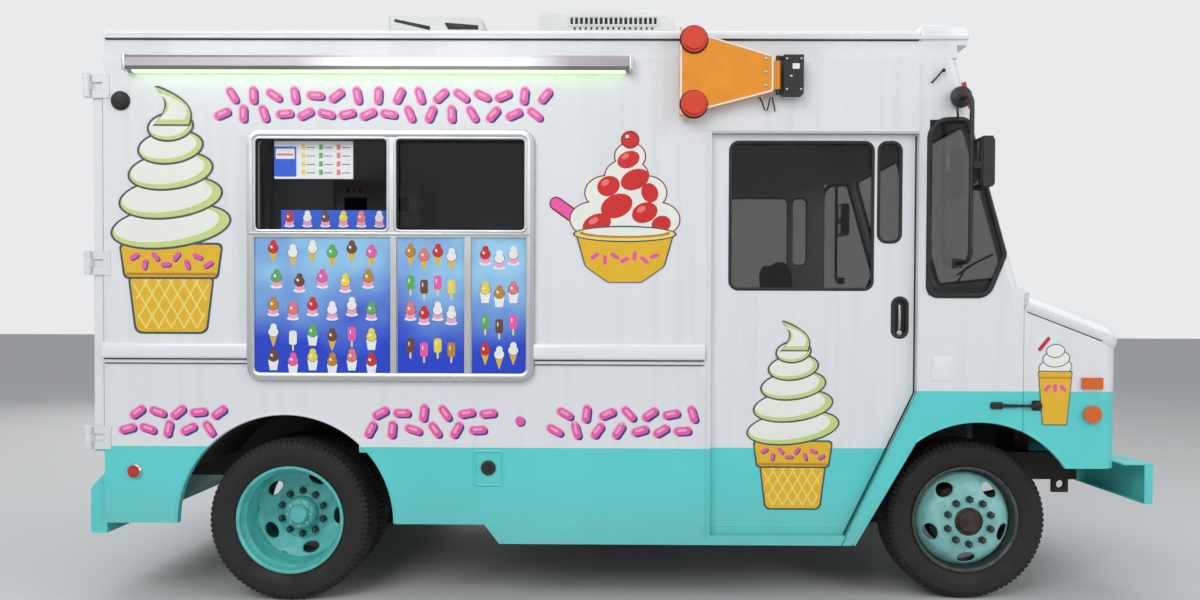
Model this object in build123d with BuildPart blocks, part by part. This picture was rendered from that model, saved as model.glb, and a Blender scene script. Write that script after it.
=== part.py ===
from build123d import *
import os
from math import cos, hypot, radians, sin, sqrt

os.makedirs("parts", exist_ok=True)

# All sizes are in millimetres. X runs forward, Y to the truck's left and Z up from
# the road. The origin is on the road under the middle of the truck.

# Driving sizes
wheelbase = 3378
front_overhang = 856
rear_overhang = 966
body_half_width = 1120
floor_top_z = 760
seam_z = 2668
tyre_radius = 400

overall_length = front_overhang + wheelbase + rear_overhang
front_end_x = overall_length / 2
rear_end_x = -overall_length / 2
front_axle_x = front_end_x - front_overhang
rear_axle_x = rear_end_x + rear_overhang
axle_z = tyre_radius

# Clearances
running_gap = 0.3
knuckle_gap = 0.5
moving_gap = 5
lining_gap = 6
cut = 1

# Wheels and steering
tyre_width = 225
tread_width = 190
shoulder_radius = tyre_radius - 65
rim_radius = 262
rim_width = 178
rim_wall = 20
wheel_offset = 135
disc_thickness = 14
front_wheel_y = body_half_width - 255
dual_mount_y = body_half_width - 290
stud_ring_radius = 150
hub_radius = 62
drum_radius = 168
spindle_radius = 32
kingpin_y = front_wheel_y - 145
kingpin_radius = 18
steering_arm_length = 190

# Chassis frame
floor_thickness = 40
floor_joint_lead = 12
sill_height = 50
rail_height = 150
rail_flange = 65
rail_web = 8
rail_half_width = 460
rail_top_z = floor_top_z - floor_thickness - sill_height
rail_bottom_z = rail_top_z - rail_height

# Body shell
wall = 38
inner_half_width = body_half_width - wall
rear_bumper_depth = 80
body_rear_x = rear_end_x + rear_bumper_depth
side_bottom_z = floor_top_z - 363
skirt_bottom_z = side_bottom_z - 94
skirt_rear_x = rear_axle_x + 1046
skirt_slope = 73
cove_height = 94
cove_lean = 20
drip_rail_height = 14
drip_rail_inset = 2
roof_edge_z = seam_z + cove_height + 50
roof_crown = 50
rear_arch_radius = tyre_radius + 130
front_arch_radius = tyre_radius + 110
arch_liner = 20
liner_inner_y = rail_half_width + 40

# Cab side door
door_opening = 1000
door_front_x = front_axle_x - 304
door_rear_x = door_front_x - door_opening
door_head_z = seam_z - 359
door_sill_z = skirt_bottom_z + 45
door_slant_top_z = floor_top_z + 285
door_slant_foot_x = door_front_x - 359
door_lap = 15
door_thickness = 32
door_travel = 760
pillar_gap = 5
track_height = 18

# Cab front
wheel_line_foot_x = front_axle_x - 612
arch_start_angle = 128
hood_seam_x = front_axle_x + 211
cowl_z = floor_top_z + 801
screen_foot_x = hood_seam_x - 17
screen_top_x = screen_foot_x - 316
screen_frame = 30
screen_post_y = 25
screen_side_y = body_half_width - 100
screen_low = 50
screen_header = 301
screen_corner = 60
glass_thickness = 6
quarter_low_z = cowl_z - 37
quarter_high_z = seam_z - 295
quarter_rear_x = door_front_x + 52
quarter_post = 34
quarter_foot_x = screen_foot_x - 160
quarter_knee_z = cowl_z + 161
roof_cap_reach = 53
roof_cap_bottom_z = seam_z + 66
firewall = 38

# Hood
hood_front_x = front_end_x - 160
hood_nose_z = cowl_z - 189
hood_shell = 16
hood_round = 110
hood_half_width = body_half_width - 8
hood_gap = 6

# Serving window
serving_rear_x = rear_axle_x - 174
serving_front_x = serving_rear_x + 1385
serving_high_z = door_head_z
serving_low_z = serving_high_z - 1206
serving_sill_z = serving_high_z - 485
serving_bar_x = serving_rear_x + 700
serving_bar = 34
serving_border = 36
serving_proud = 30
serving_corner = 60
pane_corner = 24

# Rear doors
rear_door_low_z = floor_top_z - 12
rear_door_high_z = seam_z - 83
rear_door_thickness = 45
rear_opening_half = body_half_width - 120
rear_opening_low_z = floor_top_z + 8
rear_opening_high_z = rear_door_high_z - 25
hinge_radius = 16
hinge_leaf = 8
hinge_height = 115
hinge_axis_x = body_rear_x - moving_gap - rear_door_thickness - hinge_radius - 2
hinge_axis_y = body_half_width + hinge_radius + 4

# Bumpers
front_bumper_low_z = rail_bottom_z - 9
front_bumper_high_z = front_bumper_low_z + 198
front_bumper_depth = 40
bumper_plate = 8
bumper_half_width = body_half_width - 20
rear_bumper_high_z = floor_top_z - 110
rear_bumper_low_z = rear_bumper_high_z - 308
hood_bottom_z = front_bumper_high_z - 25


def block(x, y, z, mode=Mode.ADD):
    """A block between the two values given for each axis."""
    centre = ((x[0] + x[1]) / 2, (y[0] + y[1]) / 2, (z[0] + z[1]) / 2)
    with Locations(centre):
        Box(abs(x[1] - x[0]), abs(y[1] - y[0]), abs(z[1] - z[0]), mode=mode)


def side_plate(points, y_from, y_to, mode=Mode.ADD):
    """A plate with an outline in X and Z that runs from one Y to the other."""
    with BuildSketch(Plane.XZ.offset(-y_from), mode=Mode.PRIVATE) as outline:
        with BuildLine():
            Polyline(*points, close=True)
        make_face()
    extrude(outline.sketch, amount=y_from - y_to, mode=mode)


def side_window(x, z, corner, y_from, y_to, mode=Mode.SUBTRACT):
    """A round-cornered rectangle in X and Z that runs from one Y to the other."""
    with BuildSketch(Plane.XZ.offset(-y_from), mode=Mode.PRIVATE) as outline:
        with Locations(((x[0] + x[1]) / 2, (z[0] + z[1]) / 2)):
            RectangleRounded(x[1] - x[0], z[1] - z[0], corner)
    extrude(outline.sketch, amount=y_from - y_to, mode=mode)


def cross_section(points, x_from, x_to, mode=Mode.ADD):
    """A bar with an outline in Y and Z that runs from one X to the other."""
    with BuildSketch(Plane.YZ.offset(x_from), mode=Mode.PRIVATE) as outline:
        with BuildLine():
            Polyline(*points, close=True)
        make_face()
    extrude(outline.sketch, amount=x_to - x_from, mode=mode)


def bar_y(x, z, radius, y_from, y_to, mode=Mode.ADD):
    """A round bar along Y."""
    with BuildSketch(Plane.XZ.offset(-y_from), mode=Mode.PRIVATE) as outline:
        with Locations((x, z)):
            Circle(radius)
    extrude(outline.sketch, amount=y_from - y_to, mode=mode)


def bar_x(y, z, radius, x_from, x_to, mode=Mode.ADD):
    """A round bar along X."""
    with BuildSketch(Plane.YZ.offset(x_from), mode=Mode.PRIVATE) as outline:
        with Locations((y, z)):
            Circle(radius)
    extrude(outline.sketch, amount=x_to - x_from, mode=mode)


def bar_z(x, y, radius, z_from, z_to, mode=Mode.ADD):
    """A round bar along Z."""
    with BuildSketch(Plane.XY.offset(z_from), mode=Mode.PRIVATE) as outline:
        with Locations((x, y)):
            Circle(radius)
    extrude(outline.sketch, amount=z_to - z_from, mode=mode)


def turned_on_y(points, x, z):
    """A body of revolution about a line along Y, from points in (Y, radius)."""
    with BuildSketch(Plane.YZ.offset(x), mode=Mode.PRIVATE) as outline:
        with BuildLine():
            Polyline(*[(y, z + r) for y, r in points], close=True)
        make_face()
    revolve(outline.sketch, axis=Axis((x, 0, z), (0, 1, 0)))


def save(builder, name):
    builder.part.label = name
    export_step(builder.part, f"parts/{name}.step")


sides = {"right": -1, "left": 1}

# Frame: two channel rails with cross members between their webs
rail_rear_x = body_rear_x + wall
rail_front_x = front_end_x - bumper_plate
cross_member_width = 80
cross_member_low_z = rail_bottom_z + 40
cross_member_high_z = rail_top_z - 30
radiator_x = hood_front_x - 140
silencer_member_x = (rear_axle_x + front_axle_x) / 2 - 305
cross_member_xs = (
    rail_rear_x + 102, rear_axle_x + 584, silencer_member_x, front_axle_x - 1104, radiator_x,
)
tow_eye_radius = 22
tow_eye_plate = 20
tow_eye_reach = 70
tow_eye_half = 45
with BuildPart() as frame:
    for side in sides.values():
        outer = side * rail_half_width
        lip = side * (rail_half_width - rail_flange)
        web = side * (rail_half_width - rail_web)
        channel = (
            (outer, rail_bottom_z), (outer, rail_top_z), (lip, rail_top_z),
            (lip, rail_top_z - rail_web), (web, rail_top_z - rail_web),
            (web, rail_bottom_z + rail_web), (lip, rail_bottom_z + rail_web),
            (lip, rail_bottom_z),
        )
        cross_section(channel, rail_rear_x, rail_front_x)
        eye_x = rail_front_x - front_bumper_depth - tow_eye_reach
        eye_z = rail_bottom_z - tow_eye_reach / 2
        eye_y = (lip, lip + side * tow_eye_plate)
        block((eye_x - tow_eye_half, eye_x + tow_eye_half), eye_y, (eye_z - tow_eye_half, rail_bottom_z))
        bar_y(eye_x, eye_z, tow_eye_radius, eye_y[0], eye_y[1], Mode.SUBTRACT)
    inside = rail_half_width - rail_web
    for x in cross_member_xs:
        half = cross_member_width / 2
        block((x - half, x + half), (-inside, inside), (cross_member_low_z, cross_member_high_z))
save(frame, "frame")

# Engine: one plain block on two mounting arms
engine_rear_x = front_axle_x - 244
engine_front_x = radiator_x - 120
engine_half_width = 250
engine_top_z = floor_top_z + 350
engine_mount_x = front_axle_x + 106
engine_mount_half = 50
engine_bay_half = engine_half_width + 60
engine_bay_rear_x = engine_rear_x - 50
with BuildPart() as engine:
    block((engine_rear_x, engine_front_x), (-engine_half_width, engine_half_width),
          (rail_bottom_z, engine_top_z))
    block((engine_mount_x - engine_mount_half, engine_mount_x + engine_mount_half), (-inside, inside),
          (cross_member_low_z + 20, cross_member_high_z - 10))
save(engine, "engine")

# Radiator: a core between two tanks, standing on the front cross member
radiator_half_width = 330
radiator_top_z = hood_nose_z - 142
radiator_depth = 60
radiator_tank = 70
tank_proud = 12
with BuildPart() as radiator:
    half = radiator_depth / 2
    block((radiator_x - half, radiator_x + half), (-radiator_half_width, radiator_half_width),
          (cross_member_high_z, radiator_top_z))
    for y in (-radiator_half_width, radiator_half_width - radiator_tank):
        block((radiator_x - half - tank_proud, radiator_x + half + tank_proud), (y, y + radiator_tank),
              (cross_member_high_z, radiator_top_z))
save(radiator, "radiator")

# Gearbox and propeller shaft
gearbox_length = 600
gearbox_half_width = 150
gearbox_end_half = 80
gearbox_rear_x = engine_rear_x - gearbox_length
shaft_z = axle_z + 30
shaft_radius = 40
joint_radius = 62
joint_length = 40
axle_nose_reach = 230
with BuildPart() as drive_line:
    gearbox = (
        (gearbox_rear_x, shaft_z - gearbox_end_half), (engine_rear_x, rail_bottom_z - gearbox_end_half),
        (engine_rear_x, rail_top_z - 20), (gearbox_rear_x + gearbox_length / 4, cross_member_high_z - 30),
        (gearbox_rear_x, shaft_z + gearbox_end_half),
    )
    side_plate(gearbox, -gearbox_half_width, gearbox_half_width)
    nose_x = rear_axle_x + axle_nose_reach
    bar_x(0, shaft_z, shaft_radius, nose_x, gearbox_rear_x)
    bar_x(0, shaft_z, joint_radius, nose_x, nose_x + joint_length)
    bar_x(0, shaft_z, joint_radius, gearbox_rear_x - joint_length, gearbox_rear_x)
save(drive_line, "drive_line")

# Rear axle: a straight tube, a round housing with a nose, and two spindles
axle_tube_radius = 55
axle_housing_radius = 165
axle_housing_depth = 130
axle_nose_radius = 80
rear_drum_inner_y = dual_mount_y - 210
rear_hub_end_y = dual_mount_y + 130
hub_cap = 35
spindle_end_gap = 10
with BuildPart() as rear_axle:
    bar_y(rear_axle_x, axle_z, axle_tube_radius, -rear_drum_inner_y + moving_gap,
          rear_drum_inner_y - moving_gap)
    bar_x(0, axle_z, axle_housing_radius, rear_axle_x - axle_housing_depth / 2,
          rear_axle_x + axle_housing_depth / 2)
    bar_x(0, shaft_z, axle_nose_radius, rear_axle_x, rear_axle_x + axle_nose_reach)
    for side in sides.values():
        bar_y(rear_axle_x, axle_z, spindle_radius, side * (rear_drum_inner_y - axle_tube_radius),
              side * (rear_hub_end_y - hub_cap - spindle_end_gap))
save(rear_axle, "rear_axle")

# Front axle: a dropped beam with an upright eye at each end
beam_half = 45
beam_eye_z = (axle_z - 35, axle_z + 35)
beam_mid_z = (axle_z - 100, axle_z - 30)
eye_radius = 38
kingpin_reach = 34
spring_y = rail_half_width - rail_web
spring_width = 60
with BuildPart() as front_axle:
    drop_y = spring_y + spring_width
    rise_y = kingpin_y - 80
    outer_y = kingpin_y - eye_radius / 2
    beam = (
        (-drop_y, beam_mid_z[0]), (drop_y, beam_mid_z[0]), (rise_y, beam_eye_z[0]),
        (outer_y, beam_eye_z[0]), (outer_y, beam_eye_z[1]), (rise_y, beam_eye_z[1]), (drop_y, beam_mid_z[1]),
        (-drop_y, beam_mid_z[1]), (-rise_y, beam_eye_z[1]), (-outer_y, beam_eye_z[1]),
        (-outer_y, beam_eye_z[0]), (-rise_y, beam_eye_z[0]),
    )
    cross_section(beam, front_axle_x - beam_half, front_axle_x + beam_half)
    for side in sides.values():
        bar_z(front_axle_x, side * kingpin_y, eye_radius, beam_eye_z[0], beam_eye_z[1])
        bar_z(front_axle_x, side * kingpin_y, kingpin_radius, beam_eye_z[0] - kingpin_reach,
              beam_eye_z[1] + kingpin_reach)
save(front_axle, "front_axle")

# Leaf springs: a curved main leaf with shorter leaves under it, on the front beam's
# pads and under the rear axle tube, each hung from the rail by a hanger at both ends.
# A clamp plate under each rear pack is where a jack goes.
leaf_thickness = 14
hanger_gap = 25
hanger_half = 20
hanger_inset = 22
clamp_half = 70
clamp_plate = 16
leaf_shares = (1.0, 0.72, 0.44)
leaf_pack = leaf_thickness * len(leaf_shares)
spring_table = (
    # axle x, underside of the pack, half length
    (front_axle_x, beam_mid_z[1], 500),
    (rear_axle_x, axle_z - axle_tube_radius - leaf_pack, 560),
)
with BuildPart() as leaf_springs:
    for side in sides.values():
        near_y = side * spring_y - spring_width / 2
        far_y = side * spring_y + spring_width / 2
        for axle_x, pack_z, half_length in spring_table:
            main_z = pack_z + leaf_pack - leaf_thickness
            rise = rail_bottom_z - main_z - leaf_thickness - hanger_gap
            bend = (half_length**2 + rise**2) / (2 * rise)
            for number, share in enumerate(leaf_shares):
                reach = half_length * share
                lift = bend - sqrt(bend**2 - reach**2)
                low = main_z - number * leaf_thickness
                high = low + leaf_thickness
                rear_x = axle_x - reach
                front_x = axle_x + reach
                with BuildSketch(Plane.XZ.offset(-near_y), mode=Mode.PRIVATE) as leaf:
                    with BuildLine():
                        ThreePointArc((rear_x, low + lift), (axle_x, low), (front_x, low + lift))
                        Line((front_x, low + lift), (front_x, high + lift))
                        ThreePointArc((front_x, high + lift), (axle_x, high), (rear_x, high + lift))
                        Line((rear_x, high + lift), (rear_x, low + lift))
                    make_face()
                extrude(leaf.sketch, amount=near_y - far_y)
            for end in (-1, 1):
                x = axle_x + end * (half_length - hanger_inset)
                block((x - hanger_half, x + hanger_half), (near_y, far_y), (main_z + rise, rail_bottom_z))
        plate_y = (near_y - clamp_plate, far_y + clamp_plate)
        plate_z = spring_table[1][1]
        block((rear_axle_x - clamp_half, rear_axle_x + clamp_half), plate_y, (plate_z - clamp_plate, plate_z))
save(leaf_springs, "leaf_springs")

# Fuel tank: hung on the left rail behind the cab
tank_rear_x = rear_axle_x + 934
tank_length = 800
tank_width = 380
tank_low_z = rail_bottom_z - 140
tank_high_z = rail_top_z - 10
tank_corner = 60
with BuildPart() as fuel_tank:
    with BuildSketch(Plane.YZ.offset(tank_rear_x)):
        with Locations((rail_half_width + tank_width / 2, (tank_low_z + tank_high_z) / 2)):
            RectangleRounded(tank_width, tank_high_z - tank_low_z, tank_corner)
    extrude(amount=tank_length)
save(fuel_tank, "fuel_tank")

# Exhaust: a silencer with its pipes under the floor, right of the shaft, held up by a
# strap to a cross member
silencer_y = -270
silencer_z = rail_bottom_z - 80
silencer_radius = 80
silencer_rear_x = silencer_member_x - 150
silencer_front_x = silencer_rear_x + 700
pipe_radius = 28
pipe_rear_x = silencer_rear_x - 580
pipe_front_x = engine_rear_x - 20
strap = 30
strap_sink = 12
with BuildPart() as exhaust:
    bar_x(silencer_y, silencer_z, silencer_radius, silencer_rear_x, silencer_front_x)
    bar_x(silencer_y, silencer_z, pipe_radius, silencer_front_x, pipe_front_x)
    bar_x(silencer_y, silencer_z, pipe_radius, pipe_rear_x, silencer_rear_x)
    block((silencer_member_x - strap, silencer_member_x + strap),
          (silencer_y - strap / 2, silencer_y + strap / 2),
          (silencer_z + silencer_radius - strap_sink, cross_member_low_z))
save(exhaust, "exhaust")

# Floor: a deck on cross sills, with a box over each pair of rear wheels, a liner over
# each front wheel, a step well inside each cab door and a track for the door's foot
sill_width = 60
sill_count = 5
sill_rear_x = rear_axle_x + 624
sill_pitch = (door_rear_x - 60 - sill_rear_x) / (sill_count - 1)
sill_xs = [rail_rear_x + 42, rail_rear_x + 232]
sill_xs += [sill_rear_x + number * sill_pitch for number in range(sill_count)]
deck_front_x = hood_seam_x - firewall
step_z = door_sill_z + 82
step_plate = 20
step_depth = 302
step_inner_y = inner_half_width - step_depth
step_front_gap = 30
step_rear_x = door_rear_x + 20
arch_room = 170
door_outer_y = inner_half_width - moving_gap
door_inner_y = door_outer_y - door_thickness
step_outer_y = door_inner_y - moving_gap
slant_rise = door_slant_top_z - skirt_bottom_z
slant_run = door_front_x - door_slant_foot_x


def slant_x(z):
    """Where the slanted front edge of the cab doorway lies at a height."""
    return door_slant_foot_x + (z - skirt_bottom_z) * slant_run / slant_rise


arch_start = (
    front_axle_x + front_arch_radius * cos(radians(arch_start_angle)),
    axle_z + front_arch_radius * sin(radians(arch_start_angle)),
)
liner_low_z = side_bottom_z + 40
wheel_line_slope = (arch_start[0] - wheel_line_foot_x) / (arch_start[1] - skirt_bottom_z)


def wheel_line_x(z):
    """Where the straight rear edge of the front wheel opening lies at a height."""
    return wheel_line_foot_x + (z - skirt_bottom_z) * wheel_line_slope


liner_outer = front_arch_radius + arch_liner
liner_front_x = deck_front_x
liner_front_z = axle_z + sqrt(front_arch_radius**2 - (liner_front_x - front_axle_x) ** 2)
liner_edge_z = axle_z + sqrt(liner_outer**2 - (liner_front_x - front_axle_x) ** 2)
liner_knee = (
    front_axle_x + liner_outer * cos(radians(arch_start_angle)),
    axle_z + liner_outer * sin(radians(arch_start_angle)),
)
with BuildPart() as floor:
    block((rail_rear_x, deck_front_x), (-inner_half_width, inner_half_width),
          (floor_top_z - floor_thickness, floor_top_z))
    for x in sill_xs:
        block((x - sill_width / 2, x + sill_width / 2), (-inner_half_width, inner_half_width),
              (rail_top_z, floor_top_z - floor_thickness))
    for side in sides.values():
        outer_y = side * inner_half_width
        inner_y = side * (liner_inner_y + arch_liner)
        wall_y = side * liner_inner_y
        bar_y(rear_axle_x, axle_z, rear_arch_radius + arch_liner, wall_y, outer_y)
        bar_y(rear_axle_x, axle_z, rear_arch_radius, inner_y, side * (inner_half_width + cut), Mode.SUBTRACT)
    arch_half = rear_arch_radius + arch_room
    block((rear_axle_x - arch_half, rear_axle_x + arch_half), (-inner_half_width, inner_half_width),
          (axle_z - arch_half, rail_top_z), Mode.SUBTRACT)
    for side in sides.values():
        outer_y = side * inner_half_width
        inner_y = side * (liner_inner_y + arch_liner)
        wall_y = side * liner_inner_y
        liner_foot = (wheel_line_x(liner_low_z) - arch_liner, liner_low_z)
        with BuildSketch(Plane.XZ.offset(-wall_y), mode=Mode.PRIVATE) as liner_outside:
            with BuildLine():
                Line(liner_foot, liner_knee)
                ThreePointArc(liner_knee, (front_axle_x, axle_z + liner_outer), (liner_front_x, liner_edge_z))
                Line((liner_front_x, liner_edge_z), (liner_front_x, liner_low_z))
                Line((liner_front_x, liner_low_z), liner_foot)
            make_face()
        extrude(liner_outside.sketch, amount=wall_y - outer_y)
        arch_top = (front_axle_x, axle_z + front_arch_radius)
        open_low_z = liner_low_z - arch_liner / 2
        open_front_x = liner_front_x + arch_liner / 2
        with BuildSketch(Plane.XZ.offset(-inner_y), mode=Mode.PRIVATE) as liner_inside:
            with BuildLine():
                Line((wheel_line_x(open_low_z), open_low_z), arch_start)
                ThreePointArc(arch_start, arch_top, (liner_front_x, liner_front_z))
                Line((liner_front_x, liner_front_z), (open_front_x, liner_front_z))
                Line((open_front_x, liner_front_z), (open_front_x, open_low_z))
                Line((open_front_x, open_low_z), (wheel_line_x(open_low_z), open_low_z))
            make_face()
        extrude(liner_inside.sketch, amount=inner_y - outer_y - side * cut, mode=Mode.SUBTRACT)
        step_front_x = slant_x(step_z) - step_front_gap
        well_top_z = floor_top_z + moving_gap
        well = (
            (step_rear_x, step_z), (step_front_x, step_z),
            (slant_x(well_top_z) - step_front_gap, well_top_z), (step_rear_x, well_top_z),
        )
        side_plate(well, side * step_inner_y, side * (inner_half_width + cut), Mode.SUBTRACT)
        tread_low_z = step_z - step_plate
        tread = (
            (step_rear_x - step_plate, tread_low_z), (slant_x(tread_low_z) - step_front_gap, tread_low_z),
            (step_front_x, step_z), (step_rear_x - step_plate, step_z),
        )
        side_plate(tread, side * (step_inner_y - step_plate), side * step_outer_y)
        riser_z = (step_z, floor_top_z - floor_thickness)
        block((step_rear_x - step_plate, step_front_x),
              (side * (step_inner_y - step_plate), side * step_inner_y), riser_z)
        block((step_rear_x - step_plate, step_rear_x), (side * step_inner_y, side * step_outer_y), riser_z)
        door_reach = door_lap + moving_gap
        path_z = (rail_top_z - cut, floor_top_z + cut)
        path_rear_x = door_rear_x - door_lap - door_travel - 2 * sill_width / 3
        door_path = (
            (path_rear_x, path_z[0]), (slant_x(path_z[0]) + door_reach, path_z[0]),
            (slant_x(path_z[1]) + door_reach, path_z[1]), (path_rear_x, path_z[1]),
        )
        side_plate(door_path, side * step_outer_y, side * (inner_half_width + cut), Mode.SUBTRACT)
    block((engine_bay_rear_x, deck_front_x + cut), (-engine_bay_half, engine_bay_half),
          (floor_top_z - floor_thickness - cut, floor_top_z + cut), Mode.SUBTRACT)

# The floor is laid in lengths that meet on flat joints: a deck behind, a box over each pair
# of rear tyres, a deck with the step wells and a deck with the front wheel arches
rear_joint_x = rear_axle_x + arch_half
cab_joint_x = liner_foot[0] - floor_joint_lead
galley_deck = ((rail_rear_x - cut, rear_joint_x), (-inner_half_width - cut, inner_half_width + cut))
step_deck = ((rear_joint_x, cab_joint_x), galley_deck[1])
cab_deck = ((cab_joint_x, deck_front_x + cut), galley_deck[1])
wheel_room = (rear_axle_x - arch_half, rear_joint_x)
floor_range = (0, 2 * floor_top_z)


def floor_piece(x, y):
    """The part of the whole floor that lies between two planes each way."""
    with BuildPart() as piece:
        add(floor.part)
        block(x, y, floor_range, Mode.INTERSECT)
    return piece


with BuildPart() as wheel_boxes:
    for side in sides.values():
        box_y = sorted((side * liner_inner_y, side * (inner_half_width + cut)))
        add(floor_piece(wheel_room, box_y).part)
save(wheel_boxes, "wheel_boxes")
with BuildPart() as rear_floor:
    add(floor_piece(*galley_deck).part)
    for side in sides.values():
        block(wheel_room, sorted((side * liner_inner_y, side * (inner_half_width + cut))), floor_range,
              Mode.SUBTRACT)
save(rear_floor, "rear_floor")
save(floor_piece(*step_deck), "floor")
save(floor_piece(*cab_deck), "cab_floor")

# Side walls: one sheet each, as thick as the whole wall, from the rear corner to the
# cab pillar over the door, with the skirt and the sill under the door
rub_rail_low_z = floor_top_z + 449
rub_rail_high_z = rub_rail_low_z + 69
rub_rail_proud = 22
rub_flange = 26
rub_flange_proud = 6
rail_end_gap = 4
rail_rows = (
    # from x, to x
    (body_rear_x, serving_rear_x - rail_end_gap),
    (serving_front_x + rail_end_gap, door_rear_x - 34),
)
opening_low_z = serving_sill_z
opening_high_z = serving_high_z - serving_border
opening_rear_x = serving_rear_x + serving_border
opening_front_x = serving_front_x - serving_border
door_open_x = door_rear_x - door_lap - door_travel
track_depth = 8
track_lip = 6
track_end_room = 20
door_foot_z = door_sill_z - door_lap
door_top_z = door_head_z + door_lap


def wall_sheet(side):
    """The sheet of one side wall with its door tracks, rub rails and wheel opening."""
    inner_y = side * inner_half_width
    outer_y = side * body_half_width
    outline = (
        (body_rear_x, side_bottom_z), (skirt_rear_x - skirt_slope, side_bottom_z),
        (skirt_rear_x, skirt_bottom_z), (door_slant_foot_x, skirt_bottom_z),
        (slant_x(door_sill_z), door_sill_z), (door_rear_x, door_sill_z),
        (door_rear_x, door_head_z), (door_front_x + pillar_gap, door_head_z),
        (door_front_x + pillar_gap, seam_z), (body_rear_x, seam_z),
    )
    side_plate(outline, inner_y, outer_y)
    bar_y(rear_axle_x, axle_z, rear_arch_radius, inner_y - side * cut, outer_y + side * cut, Mode.SUBTRACT)
    for x_from, x_to in rail_rows:
        block((x_from, x_to), (outer_y, outer_y + side * rub_rail_proud), (rub_rail_low_z, rub_rail_high_z))
        block((x_from, x_to), (outer_y, outer_y + side * rub_flange_proud),
              (rub_rail_low_z - rub_flange, rub_rail_low_z))
    ledge_y = side * (door_inner_y - running_gap - track_lip)
    track_ends = (door_open_x - track_end_room, door_front_x + pillar_gap)
    top_z = (door_top_z + running_gap, door_top_z + running_gap + track_height)
    low_z = (door_foot_z - running_gap - track_depth, door_foot_z - running_gap)
    block(track_ends, (inner_y, ledge_y), top_z)
    block(track_ends, (ledge_y, ledge_y + side * track_lip), (top_z[0] - track_depth, top_z[0]))
    foot_end = slant_x(skirt_bottom_z) - track_end_room / 2
    block((track_ends[0], foot_end), (inner_y, ledge_y), low_z)
    block((track_ends[0], foot_end), (ledge_y, ledge_y + side * track_lip),
          (low_z[1], low_z[1] + track_depth))


with BuildPart() as right_wall:
    wall_sheet(sides["right"])
    side_window((opening_rear_x, opening_front_x), (opening_low_z, opening_high_z), pane_corner,
                -inner_half_width + cut, -body_half_width - cut)
save(right_wall, "right_wall")

with BuildPart() as left_wall:
    wall_sheet(sides["left"])
    block((serving_rear_x - rail_end_gap, serving_front_x + rail_end_gap),
          (body_half_width, body_half_width + rub_rail_proud), (rub_rail_low_z, rub_rail_high_z))
save(left_wall, "left_wall")

# Roof: a crowned shell on the walls, with a drip rail on each side and a cap that
# overhangs the windscreen
roof_cap_x = screen_top_x + roof_cap_reach
cove_y = body_half_width - cove_lean
drip_y = body_half_width - drip_rail_inset
drip_z = seam_z + cove_height
drip_top_z = drip_z + drip_rail_height
roof_shoulder = 52
shoulder_y = cove_y - roof_shoulder
crown_z = roof_edge_z + roof_crown
roof_front_wall = 34
roof_end_round = 30
with BuildPart() as roof:
    with BuildSketch(Plane.YZ.offset(body_rear_x)):
        with BuildLine():
            left = Polyline((body_half_width, seam_z), (cove_y, drip_z), (drip_y, drip_z),
                            (drip_y, drip_top_z), (cove_y, drip_top_z), (shoulder_y, roof_edge_z))
            mirror(left, about=Plane.YZ)
            ThreePointArc((-shoulder_y, roof_edge_z), (0, crown_z), (shoulder_y, roof_edge_z))
            Line((-body_half_width, seam_z), (body_half_width, seam_z))
        make_face()
    extrude(amount=roof_cap_x - body_rear_x)
    cap_edges = roof.edges().filter_by(GeomType.CIRCLE)
    fillet(cap_edges, roof_end_round)
    inner_cove_y = cove_y - wall
    inner_shoulder = (inner_cove_y - roof_shoulder, roof_edge_z - wall)
    with BuildSketch(Plane.YZ.offset(body_rear_x + wall), mode=Mode.PRIVATE) as roof_inside:
        with BuildLine():
            left = Polyline((inner_half_width, seam_z - cut), (inner_half_width, seam_z),
                            (inner_cove_y, drip_z), inner_shoulder)
            mirror(left, about=Plane.YZ)
            ThreePointArc((-inner_shoulder[0], inner_shoulder[1]), (0, crown_z - wall), inner_shoulder)
            Line((-inner_half_width, seam_z - cut), (inner_half_width, seam_z - cut))
        make_face()
    extrude(roof_inside.sketch, amount=screen_top_x - roof_front_wall - body_rear_x - wall,
            mode=Mode.SUBTRACT)
    block((screen_top_x, roof_cap_x + cut), (-body_half_width - cut, body_half_width + cut),
          (seam_z - cut, roof_cap_bottom_z), Mode.SUBTRACT)
save(roof, "roof")

# Rear frame: the posts, header and sill round the rear doors, and the panel under them
lamp_radius = 40
lamp_height = 24
lamp_y = body_half_width - 135
rear_lamp_z = (rear_bumper_high_z + rear_door_low_z) / 2
with BuildPart() as rear_frame:
    block((body_rear_x, body_rear_x + wall), (-inner_half_width, inner_half_width), (side_bottom_z, seam_z))
    block((body_rear_x - cut, body_rear_x + wall + cut), (-rear_opening_half, rear_opening_half),
          (rear_opening_low_z, rear_opening_high_z), Mode.SUBTRACT)
save(rear_frame, "rear_frame")

# Cab front: side panels with quarter windows, windscreen frame, cowl and firewall
screen_rise = seam_z - cowl_z
screen_run = screen_foot_x - screen_top_x
screen_length = hypot(screen_rise, screen_run)
screen_high = screen_length - screen_header
screen_normal = (screen_rise / screen_length, 0, screen_run / screen_length)
frame_setback = screen_frame * screen_length / screen_rise
screen_plane = Plane(origin=(screen_foot_x, 0, cowl_z), x_dir=(0, 1, 0), z_dir=screen_normal)
arch_seam_z = axle_z + sqrt(front_arch_radius**2 - (hood_seam_x - front_axle_x) ** 2)
screen_round = 45
cab_room_rear_x = door_rear_x + door_opening / 2


def screen_x(z):
    """Where the windscreen frame's outer face lies at a height."""
    return screen_foot_x - (z - cowl_z) * screen_run / screen_rise


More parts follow.
